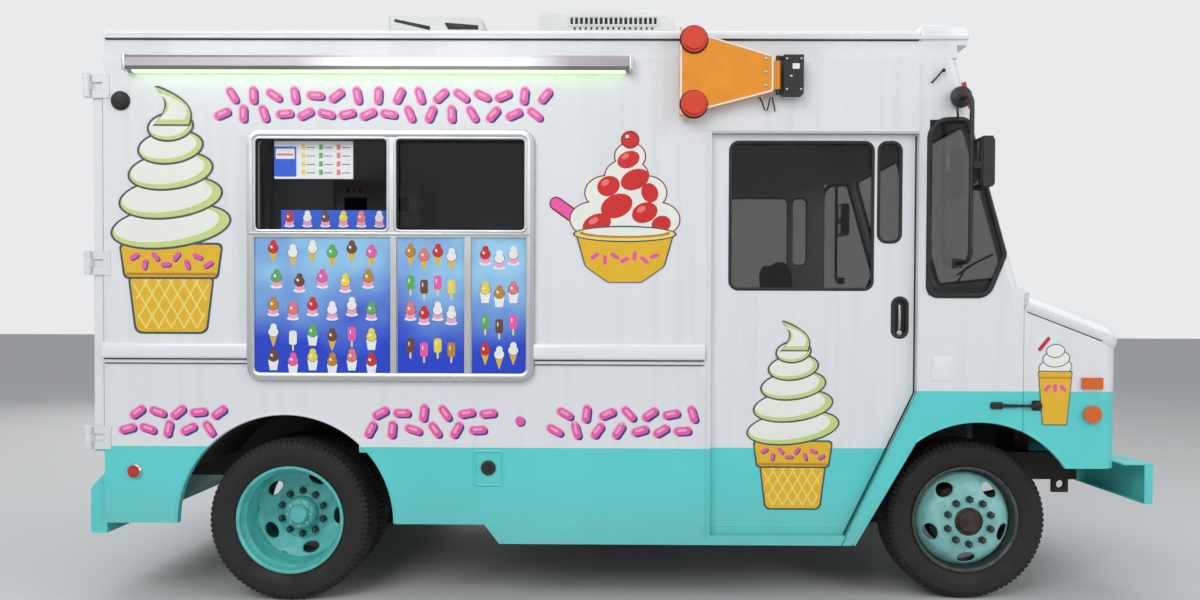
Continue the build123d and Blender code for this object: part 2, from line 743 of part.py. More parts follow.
quarter_outline = (
    (quarter_rear_x, quarter_low_z), (quarter_foot_x, quarter_low_z),
    (screen_x(quarter_knee_z) - quarter_post, quarter_knee_z),
    (screen_x(quarter_high_z) - quarter_post, quarter_high_z), (quarter_rear_x, quarter_high_z),
)
with BuildPart() as cab_front:
    with BuildSketch(Plane.XZ.offset(-body_half_width)) as cab_side:
        with BuildLine():
            Polyline((door_front_x + pillar_gap, seam_z), (door_front_x + pillar_gap, door_slant_top_z),
                     (slant_x(skirt_bottom_z) + pillar_gap, skirt_bottom_z),
                     (wheel_line_foot_x, skirt_bottom_z), arch_start)
            ThreePointArc(arch_start, (front_axle_x, axle_z + front_arch_radius), (hood_seam_x, arch_seam_z))
            Polyline((hood_seam_x, arch_seam_z), (hood_seam_x, cowl_z), (screen_foot_x, cowl_z),
                     (screen_top_x, seam_z), (door_front_x + pillar_gap, seam_z))
        make_face()
    extrude(amount=2 * body_half_width)
    corner_edges = [
        edge for edge in cab_front.edges().filter_by(GeomType.LINE)
        if abs(edge.length - screen_length) < 1
    ]
    fillet(corner_edges, screen_round)
    firewall_x = hood_seam_x - firewall
    inner_low_x = screen_foot_x - frame_setback
    inner_top_x = screen_top_x - frame_setback
    room_low_z = skirt_bottom_z - cut
    room_high_z = seam_z + cut
    cab_room = (
        (cab_room_rear_x, room_low_z), (firewall_x, room_low_z), (firewall_x, cowl_z - firewall),
        (inner_low_x, cowl_z), (inner_top_x, seam_z), (inner_top_x, room_high_z),
        (cab_room_rear_x, room_high_z),
    )
    side_plate(cab_room, -inner_half_width, inner_half_width, Mode.SUBTRACT)
    block((firewall_x, hood_seam_x), (-liner_inner_y, liner_inner_y),
          (floor_top_z - floor_thickness, arch_seam_z + firewall))
    block((firewall_x - cut, hood_seam_x + cut), (-engine_bay_half, engine_bay_half),
          (floor_top_z - floor_thickness - cut, engine_top_z + 60), Mode.SUBTRACT)
    side_plate(quarter_outline, -body_half_width - cut, body_half_width + cut, Mode.SUBTRACT)
    for side in sides.values():
        with BuildSketch(screen_plane.offset(-2 * screen_frame), mode=Mode.PRIVATE) as screen_hole:
            with Locations((side * (screen_post_y + screen_side_y) / 2, (screen_low + screen_high) / 2)):
                RectangleRounded(screen_side_y - screen_post_y, screen_high - screen_low, screen_corner)
        extrude(screen_hole.sketch, amount=3 * screen_frame, mode=Mode.SUBTRACT)
save(cab_front, "cab_front")

# Fixed glass: two windscreens, two quarter windows and the fixed serving pane
glass_inset = 14
serving_pane = (serving_bar_x + serving_bar / 2, opening_front_x)
with BuildPart() as body_glass:
    for side in sides.values():
        with BuildSketch(screen_plane.offset(-glass_inset)) as screen_pane:
            with Locations((side * (screen_post_y + screen_side_y) / 2, (screen_low + screen_high) / 2)):
                RectangleRounded(screen_side_y - screen_post_y - 2 * running_gap,
                                 screen_high - screen_low - 2 * running_gap, screen_corner)
        extrude(amount=glass_thickness)
        pane_y = side * (body_half_width - glass_inset)
        with BuildSketch(Plane.XZ.offset(-pane_y), mode=Mode.PRIVATE) as quarter_pane:
            with BuildLine():
                Polyline(*quarter_outline, close=True)
            make_face()
            offset(amount=-running_gap)
        extrude(quarter_pane.sketch, amount=side * glass_thickness)
    side_window((serving_pane[0] + running_gap, serving_pane[1] - running_gap),
                (opening_low_z + running_gap, opening_high_z - running_gap), pane_corner + 2,
                -body_half_width + glass_inset, -body_half_width + glass_inset + glass_thickness, Mode.ADD)
save(body_glass, "body_glass")

# Serving frame: a flat border with posts and a sill bar, standing proud of the wall
board_border = 28
board_low_z = serving_low_z + 12
board_top_z = serving_sill_z - board_border
board_table = (
    # from x, to x
    (serving_rear_x + board_border, serving_bar_x - 4),
    (serving_bar_x + 24, serving_front_x - 330),
    (serving_front_x - 300, serving_front_x - board_border),
)
pane_table = (
    # from x, to x
    (opening_rear_x, serving_bar_x - serving_bar / 2),
    (serving_bar_x + serving_bar / 2, opening_front_x),
)
frame_cut_y = (-body_half_width + cut, -body_half_width - serving_proud - cut)
with BuildPart() as serving_frame:
    side_window((serving_rear_x, serving_front_x), (serving_low_z, serving_high_z), serving_corner,
                -body_half_width, -body_half_width - serving_proud, Mode.ADD)
    for x_range in pane_table:
        side_window(x_range, (opening_low_z, opening_high_z), pane_corner, frame_cut_y[0], frame_cut_y[1])
    for x_range in board_table:
        block(x_range, frame_cut_y, (board_low_z, board_top_z), Mode.SUBTRACT)
save(serving_frame, "serving_frame")

# Menu boards: shallow boxes in the frame's three lower openings
board_thickness = 18
with BuildPart() as menu_boards:
    for x_from, x_to in board_table:
        block((x_from + running_gap, x_to - running_gap),
              (-body_half_width, -body_half_width - board_thickness),
              (board_low_z + running_gap, board_top_z - running_gap))
save(menu_boards, "menu_boards")

# Canopy light: a long box over the serving window, its underside sloping in
light_rear_x = body_rear_x + 127
light_front_x = door_rear_x - 391
light_high_z = seam_z - 4
light_low_z = light_high_z - 68
light_depth = 62
light_bevel = 14
with BuildPart() as light_box:
    wall_y = -body_half_width
    light_section = (
        (wall_y, light_low_z), (wall_y, light_high_z), (wall_y - light_depth + light_bevel, light_high_z),
        (wall_y - light_depth, light_high_z - light_bevel), (wall_y - light_depth, light_low_z + light_bevel),
        (wall_y - light_depth + light_bevel, light_low_z),
    )
    cross_section(light_section, light_rear_x, light_front_x)
save(light_box, "light_box")

# Roof units: the air conditioner with its rounded nose, and a low hatch behind it
unit_rear_x = serving_front_x - 33
unit_length = 800
unit_half_width = 360
unit_height = 294
unit_nose = 150
unit_round = 50
unit_tail = 60
hatch_rear_x = unit_rear_x - 874
hatch_length = 545
hatch_half_width = 270
hatch_height = 95
hatch_lid = 34
hatch_lip = 18
with BuildPart() as roof_units:
    top_z = crown_z + unit_height
    front_x = unit_rear_x + unit_length
    shroud = (
        (unit_rear_x, crown_z - unit_nose), (unit_rear_x, top_z - unit_tail),
        (unit_rear_x + unit_tail, top_z), (front_x - unit_nose, top_z),
        (front_x - unit_nose / 4, top_z - unit_nose / 2), (front_x, crown_z + unit_tail),
        (front_x, crown_z - unit_nose),
    )
    side_plate(shroud, -unit_half_width, unit_half_width)
    fillet(roof_units.edges().group_by(Axis.Z)[-1].filter_by(Axis.X), unit_round)
    hatch_x = (hatch_rear_x, hatch_rear_x + hatch_length)
    lid_z = (crown_z + hatch_height - hatch_lid, crown_z + hatch_height)
    block(hatch_x, (-hatch_half_width, hatch_half_width), (crown_z - unit_nose, lid_z[0]))
    block((hatch_x[0] - hatch_lip, hatch_x[1] + hatch_lip),
          (-hatch_half_width - hatch_lip, hatch_half_width + hatch_lip), lid_z)
    with BuildSketch(Plane.YZ.offset(body_rear_x), mode=Mode.PRIVATE) as crown_room:
        with BuildLine():
            ThreePointArc((-shoulder_y, roof_edge_z), (0, crown_z), (shoulder_y, roof_edge_z))
            Polyline((shoulder_y, roof_edge_z), (shoulder_y, seam_z), (-shoulder_y, seam_z),
                     (-shoulder_y, roof_edge_z))
        make_face()
    extrude(crown_room.sketch, amount=roof_cap_x - body_rear_x, mode=Mode.SUBTRACT)
save(roof_units, "roof_units")

# Hood: a hollow nose with rounded shoulders, an arch over each front wheel, a grille
# opening, two lamp openings and two hinge lugs low on its front
hood_rear_x = hood_seam_x + hood_gap
hood_rear_z = cowl_z - hood_gap
headlamp_y = hood_half_width - 352
headlamp_z = hood_nose_z - 312
headlamp_radius = 95
grille_half_width = headlamp_y - 290
grille_low_z = hood_nose_z - 512
grille_high_z = hood_nose_z - 142
grille_corner = 40
hinge_lug = 18
hinge_plate = 12
hinge_pivot_x = hood_front_x + 30
hinge_pivot_z = front_bumper_high_z + 26
hood_hinge_y = grille_half_width + 90
hood_hinge_pin = 8
skirt_room = 200


def nose(inset, rear_x):
    """The nose's outside drawn in by an inset, from a rear plane forwards."""
    half = hood_half_width - inset
    corner = hood_round - inset
    front_x = hood_front_x - inset
    low_z = hood_bottom_z - skirt_room
    with BuildPart() as body:
        with BuildSketch(Plane.XZ.offset(-half)):
            with BuildLine():
                Polyline((rear_x, low_z), (rear_x, hood_rear_z - inset), (front_x, hood_nose_z - inset),
                         (front_x, low_z), close=True)
            make_face()
            fillet(vertices().group_by(Axis.X)[-1].sort_by(Axis.Y)[-1], corner + 10)
        extrude(amount=2 * half)
        shoulder_edges = [
            edge for edge in body.edges()
            if abs(abs((edge @ 0.5).Y) - half) < 1 and (edge @ 0.5).Z > hood_bottom_z
            and (edge @ 0.5).X > rear_x + 1
        ]
        fillet(shoulder_edges, corner)
    return body.part


with BuildPart() as hood:
    add(nose(0, hood_rear_x))
    add(nose(hood_shell, hood_rear_x - cut), mode=Mode.SUBTRACT)
    block((hood_rear_x - cut, hood_front_x + cut), (-hood_half_width - cut, hood_half_width + cut),
          (hood_bottom_z - skirt_room - cut, hood_bottom_z), Mode.SUBTRACT)
    bar_y(front_axle_x, axle_z, front_arch_radius, -hood_half_width - cut, hood_half_width + cut,
          Mode.SUBTRACT)
    with BuildSketch(Plane.YZ.offset(hood_front_x - 3 * hood_shell), mode=Mode.PRIVATE) as front_holes:
        with Locations((0, (grille_low_z + grille_high_z) / 2)):
            RectangleRounded(2 * grille_half_width, grille_high_z - grille_low_z, grille_corner)
        with Locations((-headlamp_y, headlamp_z), (headlamp_y, headlamp_z)):
            Circle(headlamp_radius)
    extrude(front_holes.sketch, amount=4 * hood_shell, mode=Mode.SUBTRACT)
    for side in sides.values():
        near_y = side * hood_hinge_y
        far_y = side * (hood_hinge_y + hinge_plate)
        lug_rear_x = hood_front_x - hinge_plate / 6
        lug = (
            (lug_rear_x, hinge_pivot_z - hinge_lug), (hinge_pivot_x, hinge_pivot_z - hinge_lug),
            (hinge_pivot_x, hinge_pivot_z + hinge_lug), (lug_rear_x, hinge_pivot_z + 3 * hinge_lug),
        )
        side_plate(lug, near_y, far_y)
        bar_y(hinge_pivot_x, hinge_pivot_z, hinge_lug, near_y, far_y)
        bar_y(hinge_pivot_x, hinge_pivot_z, hood_hinge_pin + running_gap, near_y - side * cut,
              far_y + side * cut, Mode.SUBTRACT)
save(hood, "hood")

# Grille: a frame with flat bars in the hood's opening
grille_bar = 16
grille_bar_count = 8
grille_depth = 24
grille_border = 26
grille_proud = 6
bar_half_y = grille_half_width - grille_border
with BuildPart() as grille:
    with BuildSketch(Plane.YZ.offset(hood_front_x - grille_depth)):
        with Locations((0, (grille_low_z + grille_high_z) / 2)):
            RectangleRounded(2 * grille_half_width - 2 * running_gap,
                             grille_high_z - grille_low_z - 2 * running_gap, grille_corner)
            Rectangle(2 * bar_half_y, grille_high_z - grille_low_z - 2 * grille_border, mode=Mode.SUBTRACT)
    extrude(amount=grille_depth + grille_proud)
    pitch = (grille_high_z - grille_low_z - 2 * grille_border) / grille_bar_count
    for number in range(1, grille_bar_count):
        middle_z = grille_low_z + grille_border + number * pitch
        block((hood_front_x - grille_depth, hood_front_x), (-bar_half_y, bar_half_y),
              (middle_z - grille_bar / 2, middle_z + grille_bar / 2))
save(grille, "grille")

# Headlamps: a domed lens in a chromed bezel on each side
bezel_width = 20
headlamp_table = (
    # distance in front of the hood's face, radius
    (-40, 0),
    (-40, headlamp_radius - bezel_width),
    (0, headlamp_radius - running_gap),
    (0, headlamp_radius + bezel_width),
    (14, headlamp_radius + bezel_width - 8),
    (16, headlamp_radius - 8),
    (24, headlamp_radius / 2),
    (27, 0),
)
with BuildPart() as headlamps:
    for side in sides.values():
        lamp_centre_y = side * headlamp_y
        with BuildSketch(Plane.XZ.offset(-lamp_centre_y), mode=Mode.PRIVATE) as lamp_half:
            with BuildLine():
                Polyline(*[(hood_front_x + x, headlamp_z + r) for x, r in headlamp_table], close=True)
            make_face()
        revolve(lamp_half.sketch, axis=Axis((0, lamp_centre_y, headlamp_z), (1, 0, 0)))
save(headlamps, "headlamps")

# Front bumper: a channel with closed ends on the rail ends, and the lugs and pins that
# the hood turns on
bumper_shelf_rear_x = hood_front_x + 14
with BuildPart() as front_bumper:
    web_x = front_end_x - bumper_plate
    block((web_x, front_end_x), (-bumper_half_width, bumper_half_width),
          (front_bumper_low_z, front_bumper_high_z))
    block((front_end_x - front_bumper_depth, web_x), (-bumper_half_width, bumper_half_width),
          (front_bumper_low_z, front_bumper_low_z + bumper_plate))
    block((bumper_shelf_rear_x, web_x), (-bumper_half_width, bumper_half_width),
          (front_bumper_high_z - bumper_plate, front_bumper_high_z))
    for side in sides.values():
        block((front_end_x - front_bumper_depth, web_x),
              (side * (bumper_half_width - bumper_plate), side * bumper_half_width),
              (front_bumper_low_z, front_bumper_high_z))
        plate_y = side * (hood_hinge_y - running_gap)
        far_y = side * (hood_hinge_y - running_gap - hinge_plate)
        block((hinge_pivot_x - hinge_plate, hinge_pivot_x + hinge_lug - 2), (plate_y, far_y),
              (front_bumper_high_z, hinge_pivot_z))
        bar_y(hinge_pivot_x, hinge_pivot_z, hinge_lug - 2, plate_y, far_y)
        bar_y(hinge_pivot_x, hinge_pivot_z, hood_hinge_pin, far_y,
              side * (hood_hinge_y + hinge_plate * 1.5))
        block((rail_front_x - tow_eye_half, web_x),
              (side * (rail_half_width + bumper_plate), side * rail_half_width),
              (front_bumper_low_z + bumper_plate, rail_top_z))
save(front_bumper, "front_bumper")

# Rear bumper: a bent tread plate with closed ends, open below
rear_bumper_wall = 6
slope_drop = 73
bend_drop = 20
bend_run = 12
with BuildPart() as rear_bumper:
    slope_z = rear_bumper_high_z - slope_drop
    outside = (
        (body_rear_x, rear_bumper_low_z), (body_rear_x, rear_bumper_high_z),
        (rear_end_x + bend_run, slope_z), (rear_end_x, slope_z - bend_drop), (rear_end_x, rear_bumper_low_z),
    )
    side_plate(outside, -bumper_half_width, bumper_half_width)
    t = rear_bumper_wall
    hollow_low_z = rear_bumper_low_z - cut
    hollow = (
        (body_rear_x - t, hollow_low_z), (body_rear_x - t, rear_bumper_high_z - 2 * t),
        (rear_end_x + bend_run + t, slope_z - t), (rear_end_x + t, slope_z - bend_drop - 2),
        (rear_end_x + t, hollow_low_z),
    )
    side_plate(hollow, -bumper_half_width + t, bumper_half_width - t, Mode.SUBTRACT)
save(rear_bumper, "rear_bumper")

# Cab side doors: a panel on each side that runs back inside the wall, with a large
# window, a small one beside it and a recessed pull
main_window = (door_rear_x + 96, door_rear_x + 792)
small_window = (door_rear_x + 820, door_rear_x + 928)
window_high_z = door_head_z - 39
window_low_z = window_high_z - 717
small_window_low_z = window_high_z - 485
pull_x = (door_rear_x + 894, door_rear_x + 962)
pull_z = (window_low_z - 231, window_low_z - 43)
pull_corner = 20
pull_depth = 18
window_corner = 40
door_rear_edge_x = door_rear_x - door_lap
door_front_edge_x = door_front_x + door_lap - pillar_gap


def cab_door(side):
    """The panel of one cab side door."""
    outer_y = side * door_outer_y
    inner_y = side * door_inner_y
    outline = (
        (door_rear_edge_x, door_foot_z), (slant_x(door_foot_z) + door_lap - pillar_gap, door_foot_z),
        (door_front_edge_x, door_slant_top_z), (door_front_edge_x, door_top_z),
        (door_rear_edge_x, door_top_z),
    )
    side_plate(outline, inner_y, outer_y)
    through_y = (inner_y - side * cut, outer_y + side * cut)
    side_window(main_window, (window_low_z, window_high_z), window_corner, through_y[0], through_y[1])
    side_window(small_window, (small_window_low_z, window_high_z), window_corner, through_y[0], through_y[1])
    side_window(pull_x, pull_z, pull_corner, outer_y - side * pull_depth, outer_y + side * cut)


def cab_door_glass(side):
    """The two panes of one cab side door."""
    mid_y = side * (door_outer_y - door_thickness / 2)
    for x, low_z in ((main_window, window_low_z), (small_window, small_window_low_z)):
        pane_x = (x[0] + running_gap, x[1] - running_gap)
        pane_z = (low_z + running_gap, window_high_z - running_gap)
        side_window(pane_x, pane_z, window_corner, mid_y - glass_thickness / 2, mid_y + glass_thickness / 2,
                    Mode.ADD)


for name, side in sides.items():
    with BuildPart() as door:
        cab_door(side)
    save(door, f"{name}_door")
    with BuildPart() as door_glass:
        cab_door_glass(side)
    save(door_glass, f"{name}_door_glass")

# Rear doors: two panels over the rear opening, each with a window, a recessed handle
# and three strap hinges whose barrels stand clear behind the corner
rear_door_meeting_gap = 3
rear_door_outer_x = body_rear_x - moving_gap - rear_door_thickness
rear_door_edge_y = body_half_width - moving_gap
rear_window_y = (body_half_width - 860, body_half_width - 260)
rear_window_high_z = rear_door_high_z - 425
rear_window_low_z = rear_window_high_z - 600
hinge_zs = (
    rear_door_low_z + 67, (rear_door_low_z + rear_door_high_z) / 2, rear_door_high_z - 60,
)
hinge_strap = 90
door_leaf_x = (rear_door_outer_x - hinge_leaf, rear_door_outer_x)
body_leaf_y = (body_half_width, body_half_width + 6)
body_leaf_reach = 34
rear_handle_y = (60, 150)
rear_handle_z = (rear_window_low_z - 320, rear_window_low_z - 140)
rear_handle_corner = 16
rear_handle_depth = 20


def rear_window(y, z, corner, x_from, x_to, mode):
    """A round-cornered rectangle in Y and Z that runs from one X to the other."""
    with BuildSketch(Plane.YZ.offset(x_from), mode=Mode.PRIVATE) as outline:
        with Locations(((y[0] + y[1]) / 2, (z[0] + z[1]) / 2)):
            RectangleRounded(abs(y[1] - y[0]), z[1] - z[0], corner)
    extrude(outline.sketch, amount=x_to - x_from, mode=mode)


for name, side in sides.items():
    window_y = (side * rear_window_y[0], side * rear_window_y[1])
    handle_y = (side * rear_handle_y[0], side * rear_handle_y[1])
    with BuildPart() as rear_door:
        block((rear_door_outer_x, body_rear_x - moving_gap),
              (side * rear_door_meeting_gap, side * rear_door_edge_y), (rear_door_low_z, rear_door_high_z))
        rear_window(window_y, (rear_window_low_z, rear_window_high_z), window_corner,
                    rear_door_outer_x - cut, body_rear_x, Mode.SUBTRACT)
        rear_window(handle_y, rear_handle_z, rear_handle_corner, rear_door_outer_x - cut,
                    rear_door_outer_x + rear_handle_depth, Mode.SUBTRACT)
        for z in hinge_zs:
            knuckle = hinge_height / 3 - 2 * knuckle_gap
            block(door_leaf_x, (side * (hinge_axis_y - hinge_strap), side * hinge_axis_y),
                  (z - knuckle / 2, z + knuckle / 2))
            bar_z(hinge_axis_x, side * hinge_axis_y, hinge_radius, z - knuckle / 2, z + knuckle / 2)
    save(rear_door, f"rear_door_{name}")
    with BuildPart() as rear_glass:
        mid_x = rear_door_outer_x + rear_door_thickness / 2
        rear_window((window_y[0] + side * running_gap, window_y[1] - side * running_gap),
                    (rear_window_low_z + running_gap, rear_window_high_z - running_gap), window_corner,
                    mid_x - glass_thickness / 2, mid_x + glass_thickness / 2, Mode.ADD)
    save(rear_glass, f"rear_door_glass_{name}")

# Fixed halves of the rear hinges, and the rubber stops that the open doors meet
stop_height = 32
stop_radius = 46
stop_foot = 8
stop_x = body_rear_x + 88
stop_z = rear_door_high_z - 130
with BuildPart() as rear_hinges:
    for side in sides.values():
        leaf_y = (side * body_leaf_y[0], side * body_leaf_y[1])
        for z in hinge_zs:
            for end in (-1, 1):
                inner_z = z + end * hinge_height / 6
                outer_z = z + end * hinge_height / 2
                block((hinge_axis_x, body_rear_x + body_leaf_reach), leaf_y, (inner_z, outer_z))
                bar_z(hinge_axis_x, side * hinge_axis_y, hinge_radius, inner_z, outer_z)
            block((body_rear_x, body_rear_x + body_leaf_reach), leaf_y,
                  (z - hinge_height / 2, z + hinge_height / 2))
save(rear_hinges, "rear_hinges")

with BuildPart() as door_stops:
    for side in sides.values():
        foot_y = side * body_half_width
        with BuildSketch(Plane.XY.offset(stop_z), mode=Mode.PRIVATE) as dome:
            with BuildLine():
                Polyline((stop_x, foot_y), (stop_x + stop_radius, foot_y),
                         (stop_x + stop_radius, foot_y + side * stop_foot),
                         (stop_x + stop_radius * 0.7, foot_y + side * stop_height * 0.8),
                         (stop_x, foot_y + side * stop_height), close=True)
            make_face()
        revolve(dome.sketch, axis=Axis((stop_x, 0, stop_z), (0, 1, 0)))
save(door_stops, "door_stops")

# Swing sign: a bracket box on the wall, a blank plate hinged to it and two lamps
sign_axis_x = door_rear_x + 310
sign_axis_y = -body_half_width - 47
sign_box_x = (sign_axis_x + 22, sign_axis_x + 116)
sign_box_depth = 76
sign_box_z = (seam_z - 188, seam_z - 4)
sign_barrel_radius = 12
sign_web = 6
sign_length = 446
sign_root = 25
sign_half_thickness = 14
sign_root_z = (seam_z - 176, seam_z - 4)
sign_end_z = (seam_z - 292, seam_z + 128)
sign_lamp_radius = 62
sign_lamp_height = 30
sign_lug = 24
with BuildPart() as sign_bracket:
    block(sign_box_x, (-body_half_width, -body_half_width - sign_box_depth), sign_box_z)
    for low_z in (sign_box_z[0], sign_box_z[1] - sign_lug):
        block((sign_axis_x, sign_box_x[0]), (sign_axis_y - sign_web, sign_axis_y + sign_web),
              (low_z, low_z + sign_lug))
        bar_z(sign_axis_x, sign_axis_y, sign_barrel_radius, low_z, low_z + sign_lug)
save(sign_bracket, "sign_bracket")

with BuildPart() as sign_arm:
    root_x = sign_axis_x - sign_root
    end_x = root_x - sign_length
    sign_outline = (
        (root_x, sign_root_z[0]), (root_x, sign_root_z[1]), (end_x, sign_end_z[1]), (end_x, sign_end_z[0]),
    )
    side_plate(sign_outline, sign_axis_y - sign_half_thickness, sign_axis_y + sign_half_thickness)
    barrel_z = (sign_box_z[0] + sign_lug + knuckle_gap, sign_box_z[1] - sign_lug - knuckle_gap)
    bar_z(sign_axis_x, sign_axis_y, sign_barrel_radius, barrel_z[0], barrel_z[1])
    block((root_x - cut, sign_axis_x), (sign_axis_y - sign_web, sign_axis_y + sign_web), barrel_z)
save(sign_arm, "sign_arm")

with BuildPart() as sign_lamps:
    lamp_x = end_x + sign_lamp_radius + 4
    face_y = sign_axis_y - sign_half_thickness
    ring_y = face_y - sign_lamp_height / 2
    for lamp_z in (sign_end_z[0] + sign_lamp_radius - 8, sign_end_z[1] - sign_lamp_radius + 4):
        bar_y(lamp_x, lamp_z, sign_lamp_radius, face_y, ring_y)
        bar_y(lamp_x, lamp_z, sign_lamp_radius * 0.8, ring_y, face_y - sign_lamp_height)
save(sign_lamps, "sign_lamps")

# Mirrors: an upright head on a bent tube on each side of the cab front
mirror_stand_y = body_half_width + 165
mirror_tube_radius = 11
mirror_bend = 60
mirror_tube_x = screen_top_x + 8
mirror_low_z = cowl_z + 119
mirror_high_z = seam_z - 206
mirror_head_x = (mirror_tube_x + 25, mirror_tube_x + 70)
mirror_head_half_width = 78
mirror_head_z = (mirror_high_z - 442, mirror_high_z - 212)
mirror_clamp_z = (mirror_head_z[0] + 90, mirror_head_z[0] + 122)
mirror_clamp_half = 16
mirror_foot_half = 24
mirror_foot_plate = 6
with BuildPart() as mirrors:
    for side in sides.values():
        foot_y = side * body_half_width
        stand_y = side * mirror_stand_y
        with BuildLine(mode=Mode.PRIVATE) as tube_path:
            FilletPolyline((mirror_tube_x, foot_y, mirror_low_z), (mirror_tube_x, stand_y, mirror_low_z),
                           (mirror_tube_x, stand_y, mirror_high_z), (mirror_tube_x, foot_y, mirror_high_z),
                           radius=mirror_bend)
        with BuildSketch(Plane.XZ.offset(-foot_y), mode=Mode.PRIVATE) as tube_end:
            with Locations((mirror_tube_x, mirror_low_z)):
                Circle(mirror_tube_radius)
        sweep(tube_end.sketch, path=tube_path.line)
        for z in (mirror_low_z, mirror_high_z):
            block((mirror_tube_x - mirror_foot_half, mirror_tube_x + mirror_foot_half),
                  (foot_y, foot_y + side * mirror_foot_plate), (z - mirror_foot_half, z + mirror_foot_half))
        block((mirror_tube_x, mirror_head_x[1]), (stand_y - mirror_clamp_half, stand_y + mirror_clamp_half),
              mirror_clamp_z)
        block(mirror_head_x, (stand_y - mirror_head_half_width, stand_y + mirror_head_half_width),
              mirror_head_z)
save(mirrors, "mirrors")

# Marker lamps on the body: round red ones on the rear panel and sides, and small front
# ones high on the windscreen frame
marker_radius = 28
marker_height = 22
marker_x = body_rear_x + 150
marker_z = side_bottom_z + 255
front_marker_z = seam_z - 168
front_marker_y = screen_side_y + 10
front_marker_width = 60
front_marker_height = 130
front_marker_proud = 34
with BuildPart() as marker_lamps:
    for side in sides.values():
        side_y = side * body_half_width
        bar_y(marker_x, marker_z, marker_radius, side_y, side_y + side * marker_height)
        bar_x(side * lamp_y, rear_lamp_z, lamp_radius, body_rear_x, body_rear_x - lamp_height)
        up_screen = (front_marker_z - cowl_z) * screen_length / screen_rise
        with BuildSketch(screen_plane, mode=Mode.PRIVATE) as front_marker:
            with Locations((side * front_marker_y, up_screen)):
                Rectangle(front_marker_width, front_marker_height)
        extrude(front_marker.sketch, amount=front_marker_proud)
save(marker_lamps, "marker_lamps")

# Side lamps on the hood: a long marker and a round turn lamp on each side
nose_marker_x = (hood_front_x - 200, hood_front_x - 100)
nose_marker_z = (hood_nose_z - 300, hood_nose_z - 244)
nose_marker_proud = 14
turn_lamp_x = hood_front_x - 148
turn_lamp_z = hood_nose_z - 422
turn_lamp_radius = 42
turn_lamp_proud = 20
with BuildPart() as hood_lamps:
    for side in sides.values():
        side_y = side * hood_half_width
        block(nose_marker_x, (side_y, side_y + side * nose_marker_proud), nose_marker_z)
        bar_y(turn_lamp_x, turn_lamp_z, turn_lamp_radius, side_y, side_y + side * turn_lamp_proud)
save(hood_lamps, "hood_lamps")

# Dashboard with the steering column, and the cover over the engine in the cab
dash_rear_x = screen_foot_x - 248
dash_low_z = cowl_z - 371
dash_high_z = cowl_z - 61
dash_bevel = 60
cover_wall = 24
cover_half_width = engine_bay_half + cover_wall
cover_top_z = engine_top_z + 70
driver_y = -cover_half_width - 236
wheel_hub_x = dash_rear_x - 210
wheel_hub_z = dash_high_z - 80
hub_back = 30
column_angle = 50
column_length = 330
column_radius = 24
column_mount_half = 20
column_axis = (cos(radians(column_angle)), 0, -sin(radians(column_angle)))
with BuildPart() as dashboard:
    dash = (
        (dash_rear_x + dash_bevel, dash_low_z), (dash_rear_x, dash_low_z + dash_bevel),
        (dash_rear_x, dash_high_z - dash_bevel / 2), (dash_rear_x + dash_bevel, dash_high_z),
        (firewall_x, dash_high_z), (firewall_x, dash_low_z),
    )
    side_plate(dash, -inner_half_width, inner_half_width)
    column_top = (wheel_hub_x + hub_back * column_axis[0], driver_y, wheel_hub_z + hub_back * column_axis[2])
    with BuildSketch(Plane(origin=column_top, z_dir=column_axis), mode=Mode.PRIVATE) as column:
        Circle(column_radius)
    extrude(column.sketch, amount=column_length)
    block((dash_rear_x - dash_bevel / 2, dash_rear_x + 2 * dash_bevel),
          (driver_y - column_mount_half, driver_y + column_mount_half),
          (dash_low_z - dash_bevel, dash_low_z + dash_bevel))
save(dashboard, "dashboard")

with BuildPart() as engine_cover:
    block((engine_bay_rear_x - cover_wall, firewall_x), (-cover_half_width, cover_half_width),
          (floor_top_z, cover_top_z))
    block((engine_bay_rear_x, firewall_x + cut), (-engine_bay_half, engine_bay_half),
          (floor_top_z - cut, cover_top_z - cover_wall), Mode.SUBTRACT)
save(engine_cover, "engine_cover")

# Steering wheel: a rim with three spokes, square to the column
steering_rim_radius = 220
steering_rim_bar = 14
steering_hub_radius = 40
steering_spoke = 26
with BuildPart() as steering_wheel:
    wheel_plane = Plane(origin=(wheel_hub_x, driver_y, wheel_hub_z), x_dir=(0, 1, 0),
                        z_dir=(-column_axis[0], 0, -column_axis[2]))
    with BuildSketch(wheel_plane, mode=Mode.PRIVATE) as spokes:
        Circle(steering_hub_radius)
        with PolarLocations(steering_rim_radius / 2, 3, start_angle=90):
            Rectangle(steering_rim_radius - steering_rim_bar, steering_spoke)
    extrude(spokes.sketch, amount=steering_rim_bar / 2, both=True)
    with BuildSketch(wheel_plane.offset(running_gap - hub_back), mode=Mode.PRIVATE) as hub_disc:
        Circle(steering_hub_radius)
    extrude(hub_disc.sketch, amount=hub_back + steering_rim_bar)
    rim_centre = wheel_plane.from_local_coords((steering_rim_radius - steering_rim_bar, 0, 0))
    rim_section = Plane(origin=rim_centre, x_dir=(0, 1, 0), z_dir=wheel_plane.y_dir)
    with BuildSketch(rim_section, mode=Mode.PRIVATE) as rim_bar:
        Circle(steering_rim_bar)
    revolve(rim_bar.sketch, axis=Axis(wheel_plane.origin, wheel_plane.z_dir))
save(steering_wheel, "steering_wheel")

